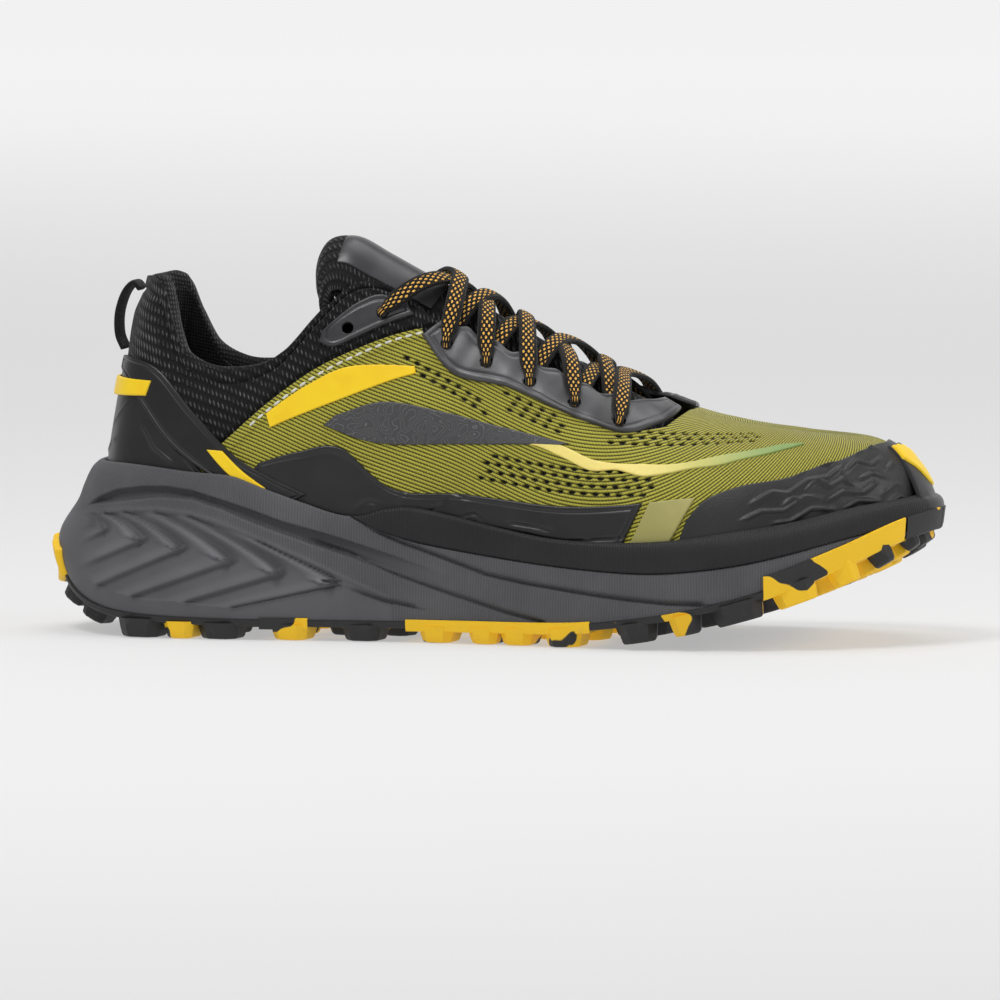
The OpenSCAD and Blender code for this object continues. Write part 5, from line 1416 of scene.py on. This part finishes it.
def lace():
    bar = [(p, n, 0, 1) for p, n in leg(0, 0, -1, [[.09, ABOVE], [.25, ABOVE - .6], [.5, ABOVE - 1], [.75, ABOVE - .6], [.91, ABOVE]])]
    back = [(p, n, w, -s) for p, n, w, s in half_lace(-1, 2.6, 3.2)[::-1]]
    path = back + bar + half_lace(1, .4, .3)
    P = np.array([x[0] for x in path])
    hole = np.array([x[2] for x in path])
    travel = unit(np.concatenate([P[1:2] - P[:1], P[2:] - P[:-2], P[-1:] - P[-2:-1]]))
    side = np.zeros((len(path), 3))
    for i in range(len(path)):
        near = sorted(range(len(path)), key=lambda k: (abs(k - i), k > i))
        k = next(k for k in near if hole[k] == 0)
        side[i] = unit(np.cross(path[k][1], travel[k])) * path[k][3]
    fine = 7
    s = np.linspace(0, 1, (len(path) - 1) * fine + 1)
    Pf, Tf = rail(P, s), None
    Sf, Hf = rail(side, s, False), rail(hole[:, None].astype(float), s, False)[:, 0]
    Tf = unit(np.concatenate([Pf[1:2] - Pf[:1], Pf[2:] - Pf[:-2], Pf[-1:] - Pf[-2:-1]]))
    C = unit(np.cross(Tf, Sf))
    E = unit(np.cross(C, Tf))
    w = LACE_W / 2 + (1.45 - LACE_W / 2) * smooth01(Hf)
    h = LACE_T / 2 + (1.35 - LACE_T / 2) * smooth01(Hf)
    ring = 20
    a = np.arange(ring) / ring * 2 * np.pi
    ca, sa = np.cos(a), np.sin(a)
    bulge = np.sign(sa) * np.abs(sa) ** .75
    rows = Pf[:, None] + E[:, None] * (w[:, None] * ca[None, :])[..., None] - C[:, None] * (h[:, None] * bulge[None, :])[..., None]
    cum = np.concatenate([[0], np.cumsum(np.linalg.norm(np.diff(Pf, axis=0), axis=1))])
    uv = np.stack([np.broadcast_to(cum[:, None], rows.shape[:2]), np.broadcast_to(ca[None, :] * LACE_W / 2, rows.shape[:2])], -1)
    v, f = loft(rows)
    build("lace", v, f, M["lace_cord"], "lace_cord", nodes=("lace",), uv=uv.reshape(-1, 2))


lace()

# ---------------------------------------------------------------- pull tab
tab_path = [[31.2, 112.6], [29, 114.5], [25.8, 111.2], [23.6, 104.5], [23.6, 97.5], [25.6, 92.6]]


def pull_tab():
    n, m = 90, 20
    s = np.linspace(0, 1, n + 1)
    P = rail(tab_path, s)
    T = unit(rail(tab_path, s + .01) - rail(tab_path, s - .01))
    N = np.stack([T[:, 1], -T[:, 0]], -1)
    a = np.arange(m) / m * 2 * np.pi
    w, h = 4.6 * np.sign(np.cos(a)) * np.abs(np.cos(a)) ** .45, 1.0 * np.sign(np.sin(a)) * np.abs(np.sin(a)) ** .6
    rows = np.stack([P[:, None, 0] + N[:, None, 0] * h, np.broadcast_to(w, (n + 1, m)), P[:, None, 1] + N[:, None, 1] * h], -1)
    cum = np.concatenate([[0], np.cumsum(np.linalg.norm(np.diff(P, axis=0), axis=1))])
    uv = np.stack([np.broadcast_to(cum[:, None], (n + 1, m)), np.broadcast_to(w, (n + 1, m))], -1)
    v, f = loft(rows)
    build("pull_tab", v, f, M["webbing"], "webbing", "tab", ("pull_tab",), uv.reshape(-1, 2))


pull_tab()


# ---------------------------------------------------------------- insole
def insole():
    u = stretch(160, .03, .97)
    halves, uvs = [], []
    for q in (u, 2 - u):
        p = raw(q, 0)
        d = raw(q + .002, 0) - raw(q - .002, 0)
        n = unit(np.stack([d[:, 1], -d[:, 0], np.zeros(len(q))], -1))
        w = curve([[22, 3.9], [105, 3.9], [140, 2.4], [292, 2.4]], p[:, 0]) + .5
        z = bed_z(q)
        e = p - n * w[:, None]
        c = (e + (raw(2 - q, 0))) / 2
        rows = [at_z(c, z + 1.7), at_z(e, z + 1.7), at_z(e, z + 5.2), at_z(e - n * .7, z + 5.9)]
        rows += [at_z(e + (c - e) * k, z + 5.9 - 1.3 * math.sin(k * math.pi / 2)) for k in (.2, .45, .7, 1)]
        halves.append(np.stack(rows, 1))
    v, f = loft(np.concatenate([halves[0], halves[1][:, ::-1]], 1))
    build("insole", v, f, M["insole_fabric"], "insole_fabric", nodes=("insole",))


insole()

# ---------------------------------------------------------------- hang everything on the frame
for name, (ob, body, slot, nodes) in made.items():
    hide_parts(*nodes)
    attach(ob, body)
for node, mat in (("strobel_board", "board_fabric"), ("heel_stiffener", "stiffener_plastic"), ("toe_puff", "stiffener_plastic"),
                  ("collar_foam", "padding_foam")):
    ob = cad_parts[node]
    ob.data.materials.clear()
    ob.data.materials.append(M[mat])

# ---------------------------------------------------------------- stage
sc = bpy.context.scene
sc.view_settings.view_transform = "Standard"
sc.view_settings.look = "None"


def stage_mat(name, c, rough, glow):
    m = Mat(name)
    f = m.noise(m.pos(), 3, 2)
    mat = m.finish(m.mix(m.math("MULTIPLY", f, .02), lin(c), lin((250, 250, 250))), rough, spec=.02)
    b = next(n for n in m.t.nodes if n.type == "BSDF_PRINCIPLED")
    b.inputs["Emission Color"].default_value = (1, 1, 1, 1)
    far = m.n("SeparateXYZ", i0=m.pos()).outputs[1]
    m.t.links.new(m.math("MULTIPLY_ADD", m.ramp(far, .1, 4.5), .27, glow), b.inputs["Emission Strength"])
    return mat


def floor():
    r = 2.5
    prof = [(-9, 0), (5, 0)] + [(5 + r * math.sin(a), r - r * math.cos(a)) for a in np.linspace(0, math.pi / 2, 16)[1:]] + [(5 + r, 7)]
    vs = [[x, y, z - .0002] for y, z in prof for x in (-9, 9)]
    fs = [[2 * i, 2 * i + 1, 2 * i + 3, 2 * i + 2] for i in range(len(prof) - 1)]
    me = bpy.data.meshes.new("floor")
    me.from_pydata(vs, [], fs)
    me.polygons.foreach_set("use_smooth", [True] * len(me.polygons))
    ob = bpy.data.objects.new("floor", me)
    sc.collection.objects.link(ob)
    me.materials.append(stage_mat("floor", (166, 166, 166), .9, .42))


floor()
w = bpy.data.worlds.new("studio")
sc.world = w
w.use_nodes = True
w.node_tree.nodes["Background"].inputs[0].default_value = (1, 1, 1, 1)
w.node_tree.nodes["Background"].inputs[1].default_value = .34


def area(name, loc, target, size, power, size_y=None):
    l = bpy.data.lights.new(name, "AREA")
    l.energy, l.size = power, size
    if size_y:
        l.shape, l.size_y = "RECTANGLE", size_y
    o = bpy.data.objects.new(name, l)
    o.location = loc
    from mathutils import Vector
    o.rotation_euler = (Vector(target) - Vector(loc)).to_track_quat("-Z", "Y").to_euler()
    sc.collection.objects.link(o)


area("key", (-.35, -.7, 1.3), (0, 0, .05), .45, 10)
area("top", (.1, .25, 1.5), (0, 0, .05), .9, 7)
area("rim", (1.0, -.1, .6), (0, 0, .06), .5, 3)
area("low", (.5, -1.6, .35), (0, 0, .06), .8, 1.2)

A, E = math.radians(13.0), math.radians(4.2)
cam = bpy.data.objects.new("camera", bpy.data.cameras.new("camera"))
sc.collection.objects.link(cam)
sc.camera = cam
right = np.array([math.cos(A), math.sin(A), 0])
up = np.array([-math.sin(A) * math.sin(E), math.cos(A) * math.sin(E), math.cos(E)])
back = np.array([math.sin(A) * math.cos(E), -math.cos(A) * math.cos(E), math.sin(E)])
cam.data.lens = 420
dist = .3289 * cam.data.lens / 36
aim = (right * 148.8 + up * 41.6 + back * 40 - ORIGIN) * .001
cam.location = aim + back * dist
cam.rotation_mode = "QUATERNION"
from mathutils import Matrix
cam.rotation_quaternion = Matrix((right, up, back)).transposed().to_quaternion()
cam.data.clip_start, cam.data.clip_end = .1, 40
